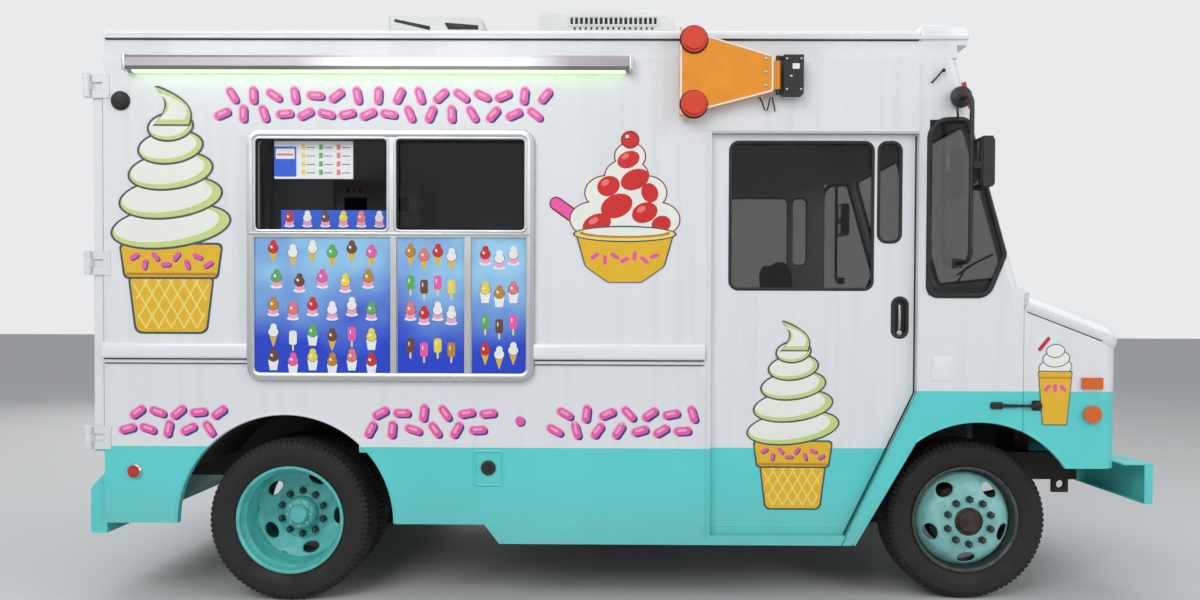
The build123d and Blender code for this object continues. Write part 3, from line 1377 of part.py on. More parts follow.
# Driver's seat: a pedestal, a cushion and a back
seat_rear_x = wheel_hub_x - 630
seat_length = 460
seat_half_width = 215
seat_z = floor_top_z + 350
seat_base_x = (seat_rear_x + 80, seat_rear_x + 400)
seat_base_half = 160
cushion_height = 110
cushion_front_x = seat_rear_x + seat_length + 40
back_height = 620
back_depth = 110
back_lean = 70
with BuildPart() as seat_base:
    block(seat_base_x, (driver_y - seat_base_half, driver_y + seat_base_half), (floor_top_z, seat_z))
save(seat_base, "seat_base")
with BuildPart() as driver_seat:
    block((seat_rear_x + back_depth, cushion_front_x),
          (driver_y - seat_half_width, driver_y + seat_half_width), (seat_z, seat_z + cushion_height))
    back_front_x = seat_rear_x + back_depth
    back = (
        (back_front_x - back_depth, seat_z), (back_front_x, seat_z),
        (back_front_x - back_lean, seat_z + back_height),
        (back_front_x - back_lean - back_depth, seat_z + back_height),
    )
    side_plate(back, driver_y - seat_half_width, driver_y + seat_half_width)
save(driver_seat, "driver_seat")

# Galley: cabinets with a counter along the left wall, cut round the wheel box, and a
# chest freezer under the serving window
counter_rear_x = body_rear_x + 100
counter_front_x = serving_front_x + 3
counter_depth = 560
counter_z = floor_top_z + 880
counter_thickness = 40
freezer_rear_x = rear_axle_x + 574
freezer_front_x = serving_front_x + 23
freezer_depth = 560
freezer_z = counter_z - 40
freezer_lid = 60
freezer_lip = 8
cabinet_kick = 30
with BuildPart() as galley_cabinets:
    back_y = inner_half_width - lining_gap
    counter_y = back_y - counter_depth
    block((counter_rear_x + cabinet_kick, counter_front_x - cabinet_kick), (counter_y + cabinet_kick, back_y),
          (floor_top_z, counter_z))
    block((counter_rear_x, counter_front_x), (counter_y, back_y), (counter_z, counter_z + counter_thickness))
    bar_y(rear_axle_x, axle_z, rear_arch_radius + arch_liner + lining_gap, counter_y - cut, back_y + cut,
          Mode.SUBTRACT)
    block((freezer_rear_x, freezer_front_x), (-back_y, -back_y + freezer_depth), (floor_top_z, freezer_z))
    block((freezer_rear_x - freezer_lip, freezer_front_x + freezer_lip),
          (-back_y, -back_y + freezer_depth + freezer_lip), (freezer_z, freezer_z + freezer_lid))
save(galley_cabinets, "galley_cabinets")

# Soft-serve machine: a cabinet on the counter with two spouts and their draw handles
machine_length = 580
machine_rear_x = rear_axle_x - 266
machine_depth = 480
machine_height = 640
tray_depth = 110
tray_height = 40
spout_spacing = 280
spout_radius = 24
handle_half = 10
handle_reach = 70
with BuildPart() as soft_serve_machine:
    machine_z = counter_z + counter_thickness
    front_y = back_y - machine_depth
    tray_y = front_y + tray_depth
    machine_side = (
        (back_y, machine_z), (front_y, machine_z), (front_y, machine_z + tray_height),
        (tray_y, machine_z + tray_height * 1.5), (tray_y, machine_z + 300), (front_y, machine_z + 330),
        (front_y, machine_z + machine_height), (back_y, machine_z + machine_height),
    )
    cross_section(machine_side, machine_rear_x, machine_rear_x + machine_length)
    machine_mid_x = machine_rear_x + machine_length / 2
    for x in (machine_mid_x - spout_spacing / 2, machine_mid_x + spout_spacing / 2):
        bar_z(x, front_y + tray_depth / 2, spout_radius, machine_z + 250, machine_z + 340)
        block((x - handle_half, x + handle_half), (front_y - handle_reach, front_y + handle_half),
              (machine_z + 350, machine_z + 372))
save(soft_serve_machine, "soft_serve_machine")

# Steering knuckles: a fork round the front axle's eye, a spindle and a steering arm
fork_half = 40
fork_reach = 46
fork_thickness = 28
arm_half = 16
arm_thickness = 20
low_ear_z = (beam_eye_z[0] - running_gap - fork_thickness, beam_eye_z[0] - running_gap)
high_ear_z = (beam_eye_z[1] + running_gap, beam_eye_z[1] + running_gap + fork_thickness)
arm_z = (low_ear_z[0], low_ear_z[0] + arm_thickness)
arm_pin_radius = 9
pin_end = 6
tie_rod_height = 28
tie_rod_z = (arm_z[0] - pin_end - tie_rod_height, arm_z[0] - pin_end)
tie_eye_radius = 22
front_drum_inner_y = front_wheel_y - 65
front_hub_end_y = front_wheel_y + 163
front_hub_cap = 40
fork_bore = kingpin_radius + running_gap
arm_pin_x = front_axle_x - steering_arm_length
for name, side in sides.items():
    with BuildPart() as knuckle:
        pin_y = side * kingpin_y
        plate_y = (side * (kingpin_y + fork_reach), side * (front_drum_inner_y - moving_gap))
        fork_x = (front_axle_x - fork_half, front_axle_x + fork_half)
        block(fork_x, plate_y, (low_ear_z[0], high_ear_z[1]))
        for low_z, high_z in (low_ear_z, high_ear_z):
            block(fork_x, (pin_y, plate_y[0]), (low_z, high_z))
            bar_z(front_axle_x, pin_y, fork_half, low_z, high_z)
            bar_z(front_axle_x, pin_y, fork_bore, low_z - cut, high_z + cut, Mode.SUBTRACT)
        spindle_end_y = front_hub_end_y - front_hub_cap - spindle_end_gap
        bar_y(front_axle_x, axle_z, spindle_radius, plate_y[0], side * spindle_end_y)
        block((arm_pin_x, front_axle_x - fork_bore - moving_gap), (pin_y - arm_half, pin_y + arm_half), arm_z)
        bar_z(arm_pin_x, pin_y, arm_half, arm_z[0], arm_z[1])
        bar_z(arm_pin_x, pin_y, arm_pin_radius, tie_rod_z[0] - pin_end, arm_z[0])
    save(knuckle, f"steering_knuckle_{name}")

# Tie rod: a bar between the two arm pins
tie_rod_radius = 14
with BuildPart() as tie_rod:
    bar_y(arm_pin_x, (tie_rod_z[0] + tie_rod_z[1]) / 2, tie_rod_radius, -kingpin_y, kingpin_y)
    for side in sides.values():
        bar_z(arm_pin_x, side * kingpin_y, tie_eye_radius, tie_rod_z[0], tie_rod_z[1])
    for side in sides.values():
        bar_z(arm_pin_x, side * kingpin_y, arm_pin_radius + running_gap, tie_rod_z[0] - cut,
              tie_rod_z[1] + cut, Mode.SUBTRACT)
save(tie_rod, "tie_rod")

# Tyres: a tread, a rounded outer shoulder and a bore on the rim
bead_half = rim_width / 2 - 5
twin_ys = (dual_mount_y - wheel_offset, dual_mount_y + wheel_offset)


def tyre(x, centre_y, side):
    """A tyre round a line along Y, its outboard wall bulged."""
    tread = tread_width / 2
    bore = rim_radius + running_gap
    outline = (
        (centre_y + bead_half, bore), (centre_y + tyre_width / 2, shoulder_radius),
        (centre_y + tread, tyre_radius), (centre_y - tread, tyre_radius), (centre_y - bead_half, bore),
    )
    turned_on_y([(side * y, r) for y, r in outline], x, axle_z)


for name, side in sides.items():
    with BuildPart() as front_tyre:
        tyre(front_axle_x, front_wheel_y, side)
    save(front_tyre, f"front_tyre_{name}")
    with BuildPart() as rear_tyres:
        for twin_y in twin_ys:
            tyre(rear_axle_x, twin_y, side)
    save(rear_tyres, f"rear_tyres_{name}")

# Hand holes: five rounded slots through the disc of each rim
hand_hole_count = 5
hand_hole_ring = 192
hand_hole_length = 96
hand_hole_width = 38


def hand_holes(x, y_from, y_to):
    """Five slots round a wheel's axis, cut from one Y to the other."""
    with BuildSketch(Plane.XZ.offset(-y_from), mode=Mode.PRIVATE) as outline:
        with Locations((x, axle_z)):
            with PolarLocations(hand_hole_ring, hand_hole_count, start_angle=54):
                SlotOverall(hand_hole_length, hand_hole_width, rotation=90)
    extrude(outline.sketch, amount=y_from - y_to, mode=Mode.SUBTRACT)


# Front rims: a barrel, a disc that bulges outward to the stud ring, a hub and a drum
inner_radius = rim_radius - rim_wall
bore = spindle_radius + running_gap
for name, side in sides.items():
    with BuildPart() as front_rim:
        flange_y = front_wheel_y + rim_width / 2
        inner_edge_y = front_wheel_y - rim_width / 2
        ring_y = front_wheel_y + wheel_offset
        drum_end_y = flange_y - 30
        cap_y = front_hub_end_y - front_hub_cap
        front_profile = (
            (inner_edge_y, inner_radius), (inner_edge_y, rim_radius), (flange_y, rim_radius),
            (flange_y, inner_radius), (ring_y, stud_ring_radius), (ring_y, hub_radius),
            (front_hub_end_y, hub_radius), (front_hub_end_y, 0), (cap_y, 0), (cap_y, bore),
            (front_drum_inner_y, bore), (front_drum_inner_y, drum_radius), (drum_end_y, drum_radius),
            (drum_end_y + disc_thickness, inner_radius),
        )
        turned_on_y([(side * y, r) for y, r in front_profile], front_axle_x, axle_z)
        hand_holes(front_axle_x, side * (drum_end_y + 2), side * (ring_y + cut))
    save(front_rim, f"front_rim_{name}")

# Rear rims: the pair's barrels with the deep outer dish, the stud ring, hub and drum
rear_hub_radius = 82
dish_floor_radius = 222
for name, side in sides.items():
    with BuildPart() as rear_rims:
        outer_edge_y = twin_ys[1] + rim_width / 2
        inner_edge_y = twin_ys[0] - rim_width / 2
        ring_y = dual_mount_y + disc_thickness
        back_y = dual_mount_y - disc_thickness
        cap_y = rear_hub_end_y - hub_cap
        rear_profile = (
            (inner_edge_y, inner_radius), (inner_edge_y, rim_radius), (outer_edge_y, rim_radius),
            (outer_edge_y, inner_radius), (ring_y + 30, dish_floor_radius), (ring_y, stud_ring_radius),
            (ring_y, rear_hub_radius), (rear_hub_end_y, rear_hub_radius), (rear_hub_end_y, 0),
            (cap_y, 0), (cap_y, bore), (rear_drum_inner_y, bore), (rear_drum_inner_y, drum_radius),
            (back_y, drum_radius), (back_y, inner_radius),
        )
        turned_on_y([(side * y, r) for y, r in rear_profile], rear_axle_x, axle_z)
        hand_holes(rear_axle_x, side * (back_y - cut), side * (ring_y + 30))
    save(rear_rims, f"rear_rims_{name}")
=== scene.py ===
# Ice cream truck: the looks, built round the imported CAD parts. Metres, +X forward, +Y left, +Z up.
import bmesh
import bpy
import numpy as np
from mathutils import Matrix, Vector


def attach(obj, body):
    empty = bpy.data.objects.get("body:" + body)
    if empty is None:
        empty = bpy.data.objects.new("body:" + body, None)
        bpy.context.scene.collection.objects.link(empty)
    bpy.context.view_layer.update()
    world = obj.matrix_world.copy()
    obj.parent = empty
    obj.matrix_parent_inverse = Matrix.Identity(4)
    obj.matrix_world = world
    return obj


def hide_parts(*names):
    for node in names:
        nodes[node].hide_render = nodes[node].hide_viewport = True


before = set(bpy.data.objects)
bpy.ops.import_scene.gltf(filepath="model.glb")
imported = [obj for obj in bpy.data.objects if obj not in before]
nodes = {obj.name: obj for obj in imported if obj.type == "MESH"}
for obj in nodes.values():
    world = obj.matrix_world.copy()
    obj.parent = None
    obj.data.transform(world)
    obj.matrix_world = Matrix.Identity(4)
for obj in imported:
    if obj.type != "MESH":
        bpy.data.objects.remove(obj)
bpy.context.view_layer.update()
scene = bpy.context.scene
random = np.random.default_rng(11)
print("frame loaded:", len(nodes), "nodes")

sides = {"right": -1, "left": 1}


# Shapes: whole arrays of points, put into meshes

# Quads between neighbouring points of a grid of rows and columns, joined round where it closes
def gridFaces(rows, columns, closeRows=False, closeColumns=False):
    r = np.arange(rows if closeRows else rows - 1)
    c = np.arange(columns if closeColumns else columns - 1)
    r, c = np.meshgrid(r, c, indexing="ij")
    nextR, nextC = (r + 1) % rows, (c + 1) % columns
    corners = [r * columns + c, r * columns + nextC, nextR * columns + nextC, nextR * columns + c]
    return np.stack(corners, -1).reshape(-1, 4).tolist()


# A grid of points as a shape; capped ends get one flat face each
def gridShape(points, closeRows=False, closeColumns=False, caps=False):
    rows, columns = points.shape[:2]
    faces = gridFaces(rows, columns, closeRows, closeColumns)
    if caps:
        faces.append(list(range(columns))[::-1])
        faces.append(list(range((rows - 1) * columns, rows * columns)))
    return points.reshape(-1, 3), faces


# Several shapes as one
def joined(*shapes):
    points, faces, start = [], [], 0
    for shapePoints, shapeFaces in shapes:
        points.append(shapePoints)
        faces += [[i + start for i in face] for face in shapeFaces]
        start += len(shapePoints)
    return np.concatenate(points), faces


# The same small shape at many places: each spot is an origin and three axes
def repeated(shape, origins, axes):
    points, faces = shape
    origins = np.asarray(origins, float)
    axes = np.broadcast_to(np.asarray(axes, float), (len(origins), 3, 3))
    moved = origins[:, None] + np.einsum("pk,nkj->npj", points, axes)
    step = len(points)
    every = [[i + n * step for i in face] for n in range(len(origins)) for face in faces]
    return moved.reshape(-1, 3), every


def newObject(name, data):
    made = bpy.data.objects.new(name, data)
    scene.collection.objects.link(made)
    return made


# A mesh from one shape or a list of them, its doubles merged and its faces turned outwards
def piece(name, shape, material, body="chassis", replaces=(), sharp=35):
    points, faces = joined(*shape) if isinstance(shape, list) else shape
    mesh = bpy.data.meshes.new(name)
    mesh.from_pydata(points.tolist(), [], faces)
    work = bmesh.new()
    work.from_mesh(mesh)
    bmesh.ops.remove_doubles(work, verts=work.verts, dist=1e-6)
    bmesh.ops.recalc_face_normals(work, faces=work.faces)
    work.to_mesh(mesh)
    work.free()
    mesh.polygons.foreach_set("use_smooth", np.ones(len(mesh.polygons), bool))
    mesh.set_sharp_from_angle(angle=np.radians(sharp))
    mesh.materials.append(material)
    made = newObject(name, mesh)
    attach(made, body)
    if replaces:
        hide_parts(*replaces)
    return made


# A closed outline whose corners are arcs tangent to both their sides
def rounded(corners, radius, steps=7):
    p = np.array(corners, float)
    before, after = np.roll(p, 1, 0) - p, np.roll(p, -1, 0) - p
    before /= np.linalg.norm(before, axis=1)[:, None]
    after /= np.linalg.norm(after, axis=1)[:, None]
    half = np.arccos(np.clip((before * after).sum(1), -1, 1)) / 2
    radii = np.broadcast_to(np.asarray(radius, float), half.shape)
    middle = before + after
    middle /= np.linalg.norm(middle, axis=1)[:, None]
    centre = p + middle * (radii / np.sin(half))[:, None]
    start = p + before * (radii / np.tan(half))[:, None] - centre
    end = p + after * (radii / np.tan(half))[:, None] - centre
    first = np.arctan2(start[:, 1], start[:, 0])
    turn = (np.arctan2(end[:, 1], end[:, 0]) - first + np.pi) % (2 * np.pi) - np.pi
    angle = first[:, None] + turn[:, None] * np.linspace(0, 1, steps)
    arc = np.stack([np.cos(angle), np.sin(angle)], -1) * radii[:, None, None]
    return (centre[:, None] + arc).reshape(-1, 2)


# Equal steps of angle round a whole turn
def wholeTurn(count):
    return np.linspace(0, 2 * np.pi, count, endpoint=False)


# Points of a drawing turned by an angle and moved to a centre
def leaned(centre, u, v, lean):
    c, s = np.cos(lean), np.sin(lean)
    return np.stack([centre[0] + c * u - s * v, centre[1] + s * u + c * v], -1)


def rectangle(u, v, radius, steps=7):
    return rounded([(u[0], v[0]), (u[1], v[0]), (u[1], v[1]), (u[0], v[1])], radius, steps)


def ellipse(centre, radii, steps=28, lean=0.0):
    t = wholeTurn(steps)
    return leaned(centre, radii[0] * np.cos(t), radii[1] * np.sin(t), lean)


# An outline turned anticlockwise, and the outward normal at each of its points
def outlineNormals(outline):
    following = np.roll(outline, -1, 0)
    area = (outline[:, 0] * following[:, 1] - outline[:, 1] * following[:, 0]).sum()
    if area < 0:
        outline = outline[::-1]
    along = np.roll(outline, -1, 0) - np.roll(outline, 1, 0)
    along /= np.maximum(np.linalg.norm(along, axis=1), 1e-9)[:, None]
    return outline, np.stack([along[:, 1], -along[:, 0]], -1)


# A closed plate: an outline raised from one level to another, its top edge a quarter round
def slab(outline, place, low, high, edge=0.0):
    outline, normal = outlineNormals(np.asarray(outline, float))
    turn = np.linspace(0, np.pi / 2, 4) if edge else np.zeros(1)
    inset = np.concatenate([[0.0], edge * (1 - np.cos(turn))])
    level = np.concatenate([[low], high - edge + edge * np.sin(turn)])
    rings = outline[None] - normal[None] * inset[:, None, None]
    w = np.broadcast_to(level[:, None], rings.shape[:2])
    return gridShape(place(rings[..., 0], rings[..., 1], w), closeColumns=True, caps=True)


def plate(u, v, radius, place, low, high, edge=0.0):
    return slab(rectangle(u, v, radius), place, low, high, edge)


# A strip along a closed outline: its section is (offset outwards, height) points, closed too
def bead(outline, place, section):
    outline, normal = outlineNormals(np.asarray(outline, float))
    section = np.asarray(section, float)
    rings = outline[None] + normal[None] * section[:, 0, None, None]
    w = np.broadcast_to(section[:, 1, None], rings.shape[:2])
    return gridShape(place(rings[..., 0], rings[..., 1], w), closeRows=True, closeColumns=True)


# The half-round section of a bead: width across, height above its seat
def beadSection(width, height, sink=0.002, steps=7):
    t = np.linspace(0, np.pi, steps)
    arc = np.stack([width / 2 * np.cos(t), height * np.sin(t)], -1)
    return np.concatenate([[(width / 2, -sink)], arc, [(-width / 2, -sink)]])


# A profile of (distance along, radius) turned about an axis through a centre
def lathe(profile, centre, axis, segments=48, closed=False):
    profile = np.asarray(profile, float)
    axis = np.asarray(axis, float) / np.linalg.norm(axis)
    side = np.cross(axis, (0, 0, 1)) if abs(axis[2]) < 0.9 else np.cross(axis, (1, 0, 0))
    side /= np.linalg.norm(side)
    other = np.cross(axis, side)
    t = wholeTurn(segments)
    spoke = np.cos(t)[:, None] * side + np.sin(t)[:, None] * other
    middle = np.asarray(centre, float) + profile[:, 0, None, None] * axis
    return gridShape(middle + profile[:, 1, None, None] * spoke[None], closeRows=closed, closeColumns=True)


# A round bar along a path of points, with closed ends; each ring stands square to the path
def tube(path, radius, segments=12, closed=False):
    path = np.asarray(path, float)
    if closed:
        along = np.roll(path, -1, 0) - np.roll(path, 1, 0)
    else:
        along = np.gradient(path, axis=0)
    along /= np.linalg.norm(along, axis=1)[:, None]
    guide = np.array((0.31, 0.53, 0.79))
    side = np.cross(along, guide)
    side /= np.linalg.norm(side, axis=1)[:, None]
    other = np.cross(along, side)
    t = wholeTurn(segments)
    radii = np.broadcast_to(radius, len(path))[:, None, None]
    spoke = np.cos(t)[None, :, None] * side[:, None] + np.sin(t)[None, :, None] * other[:, None]
    return gridShape(path[:, None] + radii * spoke, closeRows=closed, closeColumns=True, caps=not closed)


# Points along an arc of a circle in a place's plane
def arcPath(centre, radius, degreesFrom, degreesTo, steps):
    t = np.radians(np.linspace(degreesFrom, degreesTo, steps))
    return np.stack([centre[0] + radius * np.cos(t), centre[1] + radius * np.sin(t)], -1)


# Planes that outlines are laid on: (u, v) in the plane and w out of it
def onSide(side, level):
    return lambda u, v, w: np.stack([u, side * (level + w), v], -1)


def onRear(level):
    return lambda u, v, w: np.stack([level - w, u, v], -1)


def onFront(level):
    return lambda u, v, w: np.stack([level + w, u, v], -1)


def onTop(level):
    return lambda u, v, w: np.stack([u, v, level + w], -1)


# The plane of the leaning windscreen, v measured up the glass from the cowl
screen = {"foot": (1.938, 0.0, 1.561), "normal": (0.961589, 0.0, 0.274492),
    "up": (-0.274492, 0.0, 0.961589)}


def onScreen(u, v, w):
    foot, normal, up = (np.array(screen[key]) for key in ("foot", "normal", "up"))
    return foot + u[..., None] * np.array((0.0, 1.0, 0.0)) + v[..., None] * up + w[..., None] * normal


# Axes of a small part that stands out of a side: its u forward, v up and w outwards
def sideAxes(side):
    return [(1, 0, 0), (0, 0, 1), (0, side, 0)]


rearAxes = [(0, 1, 0), (0, 0, 1), (-1, 0, 0)]
frontAxes = [(0, 1, 0), (0, 0, 1), (1, 0, 0)]


# A domed rivet head and a hexagon nut with its stud, both standing on w = 0
def dome(radius, height, segments=8):
    return lathe([(-0.001, radius), (height * 0.55, radius * 0.86), (height * 0.9, radius * 0.5),
        (height, 0)], (0, 0, 0), (0, 0, 1), segments)


def nut(across, height, studRadius, studHeight):
    corner = across / np.sqrt(3)
    body = lathe([(-0.002, corner * 0.9), (-0.002, corner), (height * 0.8, corner), (height, corner * 0.86),
        (height, studRadius)], (0, 0, 0), (0, 0, 1), 6)
    stud = lathe([(0, studRadius), (studHeight - 0.002, studRadius), (studHeight, studRadius * 0.7),
        (studHeight, 0)], (0, 0, 0), (0, 0, 1), 10)
    return joined(body, stud)


# Materials

# An sRGB hex colour as the linear one that a node takes
def linear(hexText):
    value = np.array([int(hexText[i:i + 2], 16) / 255 for i in (0, 2, 4)])
    straight = np.where(value <= 0.04045, value / 12.92, ((value + 0.055) / 1.055) ** 2.4)
    return (*straight.tolist(), 1.0)


# Gives a node's inputs a hex colour, a plain value, an output, or another node's first output
def feed(tree, node, inputs):
    for key, value in inputs.items():
        if isinstance(value, str):
            value = linear(value)
        elif isinstance(value, bpy.types.Node):
            value = value.outputs[0]
        if isinstance(value, bpy.types.NodeSocket):
            tree.links.new(value, node.inputs[key])
        else:
            node.inputs[key].default_value = value


# Adds a node with its settings and feeds its inputs. A Mix node's colours are inputs 6 and 7, output 2
def addNode(tree, kind, inputs=None, **properties):
    node = tree.nodes.new("ShaderNode" + kind)
    for key, value in properties.items():
        setattr(node, key, value)
    feed(tree, node, inputs or {})
    return node


# A new material with one shader, its values set on the shader's own sockets
def newFinish(name, colour, **sockets):
    material = bpy.data.materials.new(name)
    material.use_nodes = True
    tree = material.node_tree
    tree.nodes.clear()
    shader = addNode(tree, "BsdfPrincipled", {"Base Color": colour})
    feed(tree, shader, {key.replace("_", " "): value for key, value in sockets.items()})
    addNode(tree, "OutputMaterial", {"Surface": shader})
    coords = addNode(tree, "TexCoord").outputs["Object"]
    return material, tree, shader, coords


# Colour that drifts between two shades in soft patches of a real size, with fine speckle for bump
def weathered(name, colour, otherColour, patch, amount, grain, bump, **sockets):
    material, tree, shader, coords = newFinish(name, colour, **sockets)
    gloss = shader.inputs["Roughness"].default_value
    clouds = addNode(tree, "TexNoise", {"Vector": coords, "Scale": 1 / patch, "Detail": 6.0,
        "Roughness": 0.6})
    ramp = addNode(tree, "MapRange", {"Value": clouds, "From Min": 0.35, "From Max": 0.7, "To Max": amount})
    drift = addNode(tree, "Mix", {0: ramp, 6: colour, 7: otherColour}, data_type="RGBA").outputs[2]
    specks = addNode(tree, "TexNoise", {"Vector": coords, "Scale": 1 / grain, "Detail": 3.0})
    relief = addNode(tree, "Bump", {"Height": specks, "Strength": bump, "Distance": 0.001})
    rough = addNode(tree, "MapRange", {"Value": clouds, "From Min": 0.3, "From Max": 0.75,
        "To Min": gloss * 0.8, "To Max": min(1.0, gloss * 1.5)})
    feed(tree, shader, {"Base Color": drift, "Normal": relief, "Roughness": rough})
    return material


# Gloss enamel over aluminium panels, white above a line and turquoise below it. It gives the eye a
# clear reflection with faint orange peel, rain streaks down the sides and road dust near the sills.
paint = {"white": "E9EBEE", "streak": "CFD2D0", "turquoise": "66E2E0", "fadedTurquoise": "52CFCD",
    "dust": "8E8678", "undercoatAndShade": "181716", "peel": 0.004, "streakWidth": 0.05, "dustTop": 0.62}


# Inside the arches and below the floor the same panels are painted near black, black undercoat and painted
# shade for the dark inside the arches together: the last argument gives that space
def bodyPaint(name, line, shadedSpace):
    material, tree, shader, coords = newFinish(name, paint["white"], Roughness=0.3, Coat_Weight=0.35,
        Coat_Roughness=0.12)
    axes = addNode(tree, "SeparateXYZ", {"Vector": coords}).outputs
    stretched = addNode(tree, "Mapping", {"Vector": coords, "Scale": (1.0, 1.0, 0.06)})
    streaks = addNode(tree, "TexNoise", {"Vector": stretched, "Detail": 5.0,
        "Scale": 1 / paint["streakWidth"]})
    mask = addNode(tree, "MapRange", {"Value": streaks, "From Min": 0.5, "From Max": 0.85, "To Max": 0.35})
    white = addNode(tree, "Mix", {0: mask, 6: paint["white"], 7: paint["streak"]},
        data_type="RGBA").outputs[2]
    clouds = addNode(tree, "TexNoise", {"Vector": coords, "Scale": 1.6, "Detail": 4.0})
    blue = addNode(tree, "Mix", {0: clouds, 6: paint["turquoise"], 7: paint["fadedTurquoise"]},
        data_type="RGBA").outputs[2]
    below = addNode(tree, "Math", {0: axes["Z"], 1: line}, operation="LESS_THAN")
    coat = addNode(tree, "Mix", {0: below, 6: white, 7: blue}, data_type="RGBA").outputs[2]
    low = addNode(tree, "MapRange", {"Value": axes["Z"], "From Min": 0.3, "From Max": paint["dustTop"],
        "To Min": 0.42, "To Max": 0.0})
    splash = addNode(tree, "TexNoise", {"Vector": coords, "Scale": 9.0, "Detail": 8.0, "Roughness": 0.7})
    dust = addNode(tree, "Math", {0: low, 1: splash}, operation="MULTIPLY")
    dusty = addNode(tree, "Mix", {0: dust, 6: coat, 7: paint["dust"]}, data_type="RGBA").outputs[2]
    across = addNode(tree, "Math", {0: axes["Y"]}, operation="ABSOLUTE")
    # 1 inside the arches and below the floor, where the panels are painted near black as undercoat and
    # painted shade
    inShade = 1.0
    for value, operation, limit in ((across, "LESS_THAN", shadedSpace["halfWidth"]),
            (axes["Z"], "LESS_THAN", shadedSpace["top"]), (axes["X"], "GREATER_THAN", shadedSpace["rear"]),
            (axes["X"], "LESS_THAN", shadedSpace["front"])):
        test = addNode(tree, "Math", {0: value, 1: limit}, operation=operation)
        inShade = addNode(tree, "Math", {0: inShade, 1: test}, operation="MULTIPLY")
    # near black there: undercoat and painted shade together
    colour = addNode(tree, "Mix", {0: inShade, 6: dusty, 7: paint["undercoatAndShade"]}, data_type="RGBA").outputs[2]
    peel = addNode(tree, "TexNoise", {"Vector": coords, "Scale": 1 / paint["peel"], "Detail": 2.0})
    panelWave = addNode(tree, "TexNoise", {"Vector": coords, "Scale": 2.2, "Detail": 1.0})
    waves = addNode(tree, "Bump", {"Height": panelWave, "Strength": 0.12, "Distance": 0.01})
    relief = addNode(tree, "Bump", {"Height": peel, "Normal": waves, "Strength": 0.06, "Distance": 0.0006})
    rough = addNode(tree, "MapRange", {"Value": splash, "To Min": 0.22, "To Max": 0.42})
    feed(tree, shader, {"Base Color": colour, "Normal": relief, "Roughness": rough})
    return material


bodyFinish = bodyPaint("gloss enamel, body", 0.774,
    {"halfWidth": 1.0395, "top": 0.772, "rear": -2.47, "front": 3.0})
noseFinish = bodyPaint("gloss enamel, cab and nose", 1.06,
    {"halfWidth": 1.09, "top": 1.0, "rear": -3.0, "front": 2.335})
whiteFinish = weathered("gloss enamel, white", paint["white"], paint["streak"], 0.4, 0.5, 0.004, 0.05,
    Roughness=0.3, Coat_Weight=0.3, Coat_Roughness=0.12)
# Wheel enamel: brushed on, dusty in its hollows
rimFinish = weathered("brushed enamel, wheels", "63CFCB", "4FA9A4", 0.06, 0.8, 0.003, 0.18, Roughness=0.38,
    Coat_Weight=0.15, Coat_Roughness=0.25)
paleRimFinish = weathered("worn enamel, front wheels", "94D3CF", "6FB3AE", 0.06, 0.8, 0.003, 0.2,
    Roughness=0.42)
barrelFinish = weathered("bare rolled steel", "5A605E", "2A2C2B", 0.05, 0.7, 0.003, 0.3, Roughness=0.5,
    Metallic=0.5)
lugFinish = weathered("phosphated steel", "4E5654", "2B2F2F", 0.02, 0.7, 0.0015, 0.2, Roughness=0.4,
    Metallic=0.7)
# Black tyre rubber, vulcanised, with brake dust and road dust on its walls
tyreFinish = weathered("vulcanised rubber", "131312", "2B2826", 0.09, 0.75, 0.0015, 0.25, Roughness=0.75)
# EPDM rubber extrusions and mouldings; the same black also serves as painted shade in slots, gaps and
# openings
gasketAndShadeFinish = weathered("moulded rubber and painted shade", "121212", "262626", 0.05, 0.5, 0.002, 0.1, Roughness=0.55)
blackFinish = weathered("black powder coat", "151515", "2A2826", 0.08, 0.5, 0.002, 0.15, Roughness=0.42)
frameFinish = weathered("chassis enamel", "1A1917", "463E35", 0.12, 0.8, 0.003, 0.35, Roughness=0.6)
castFinish = weathered("sand-cast iron", "4A4641", "2D2723", 0.07, 0.8, 0.0015, 0.6, Roughness=0.7,
    Metallic=0.6)
# Aluminised steel that heat has dulled
exhaustFinish = weathered("aluminised steel", "7A716A", "5A4538", 0.1, 0.8, 0.002, 0.25, Roughness=0.5,
    Metallic=0.85)
trimFinish = weathered("anodised aluminium", "C9CBCC", "A9ABAD", 0.2, 0.5, 0.002, 0.06, Roughness=0.3,
    Metallic=1.0)
chromeFinish = weathered("chrome plate", "D5D6D8", "B9B9BA", 0.15, 0.3, 0.003, 0.02, Roughness=0.12,
    Metallic=1.0)
plasticFinish = weathered("moulded ABS, white", "E4E7E6", "CFCFC8", 0.3, 0.6, 0.0025, 0.12, Roughness=0.45)
# Diamond plate and steel channel under turquoise enamel
bumperFinish = weathered("enamelled plate", "63DAD7", "56C3BF", 0.15, 0.5, 0.004, 0.12, Roughness=0.34)
greyFinish = weathered("moulded plastic, grey", "4A4B4D", "3B3B3D", 0.2, 0.5, 0.0015, 0.25, Roughness=0.6)
# Type 304 sheet, scratched in use
stainlessFinish = weathered("brushed stainless", "B9BABB", "A2A3A4", 0.15, 0.5, 0.001, 0.08, Roughness=0.32,
    Metallic=1.0)
amberFinish = weathered("enamelled sheet, amber", "F29B1E", "DE8412", 0.12, 0.5, 0.003, 0.06, Roughness=0.4)


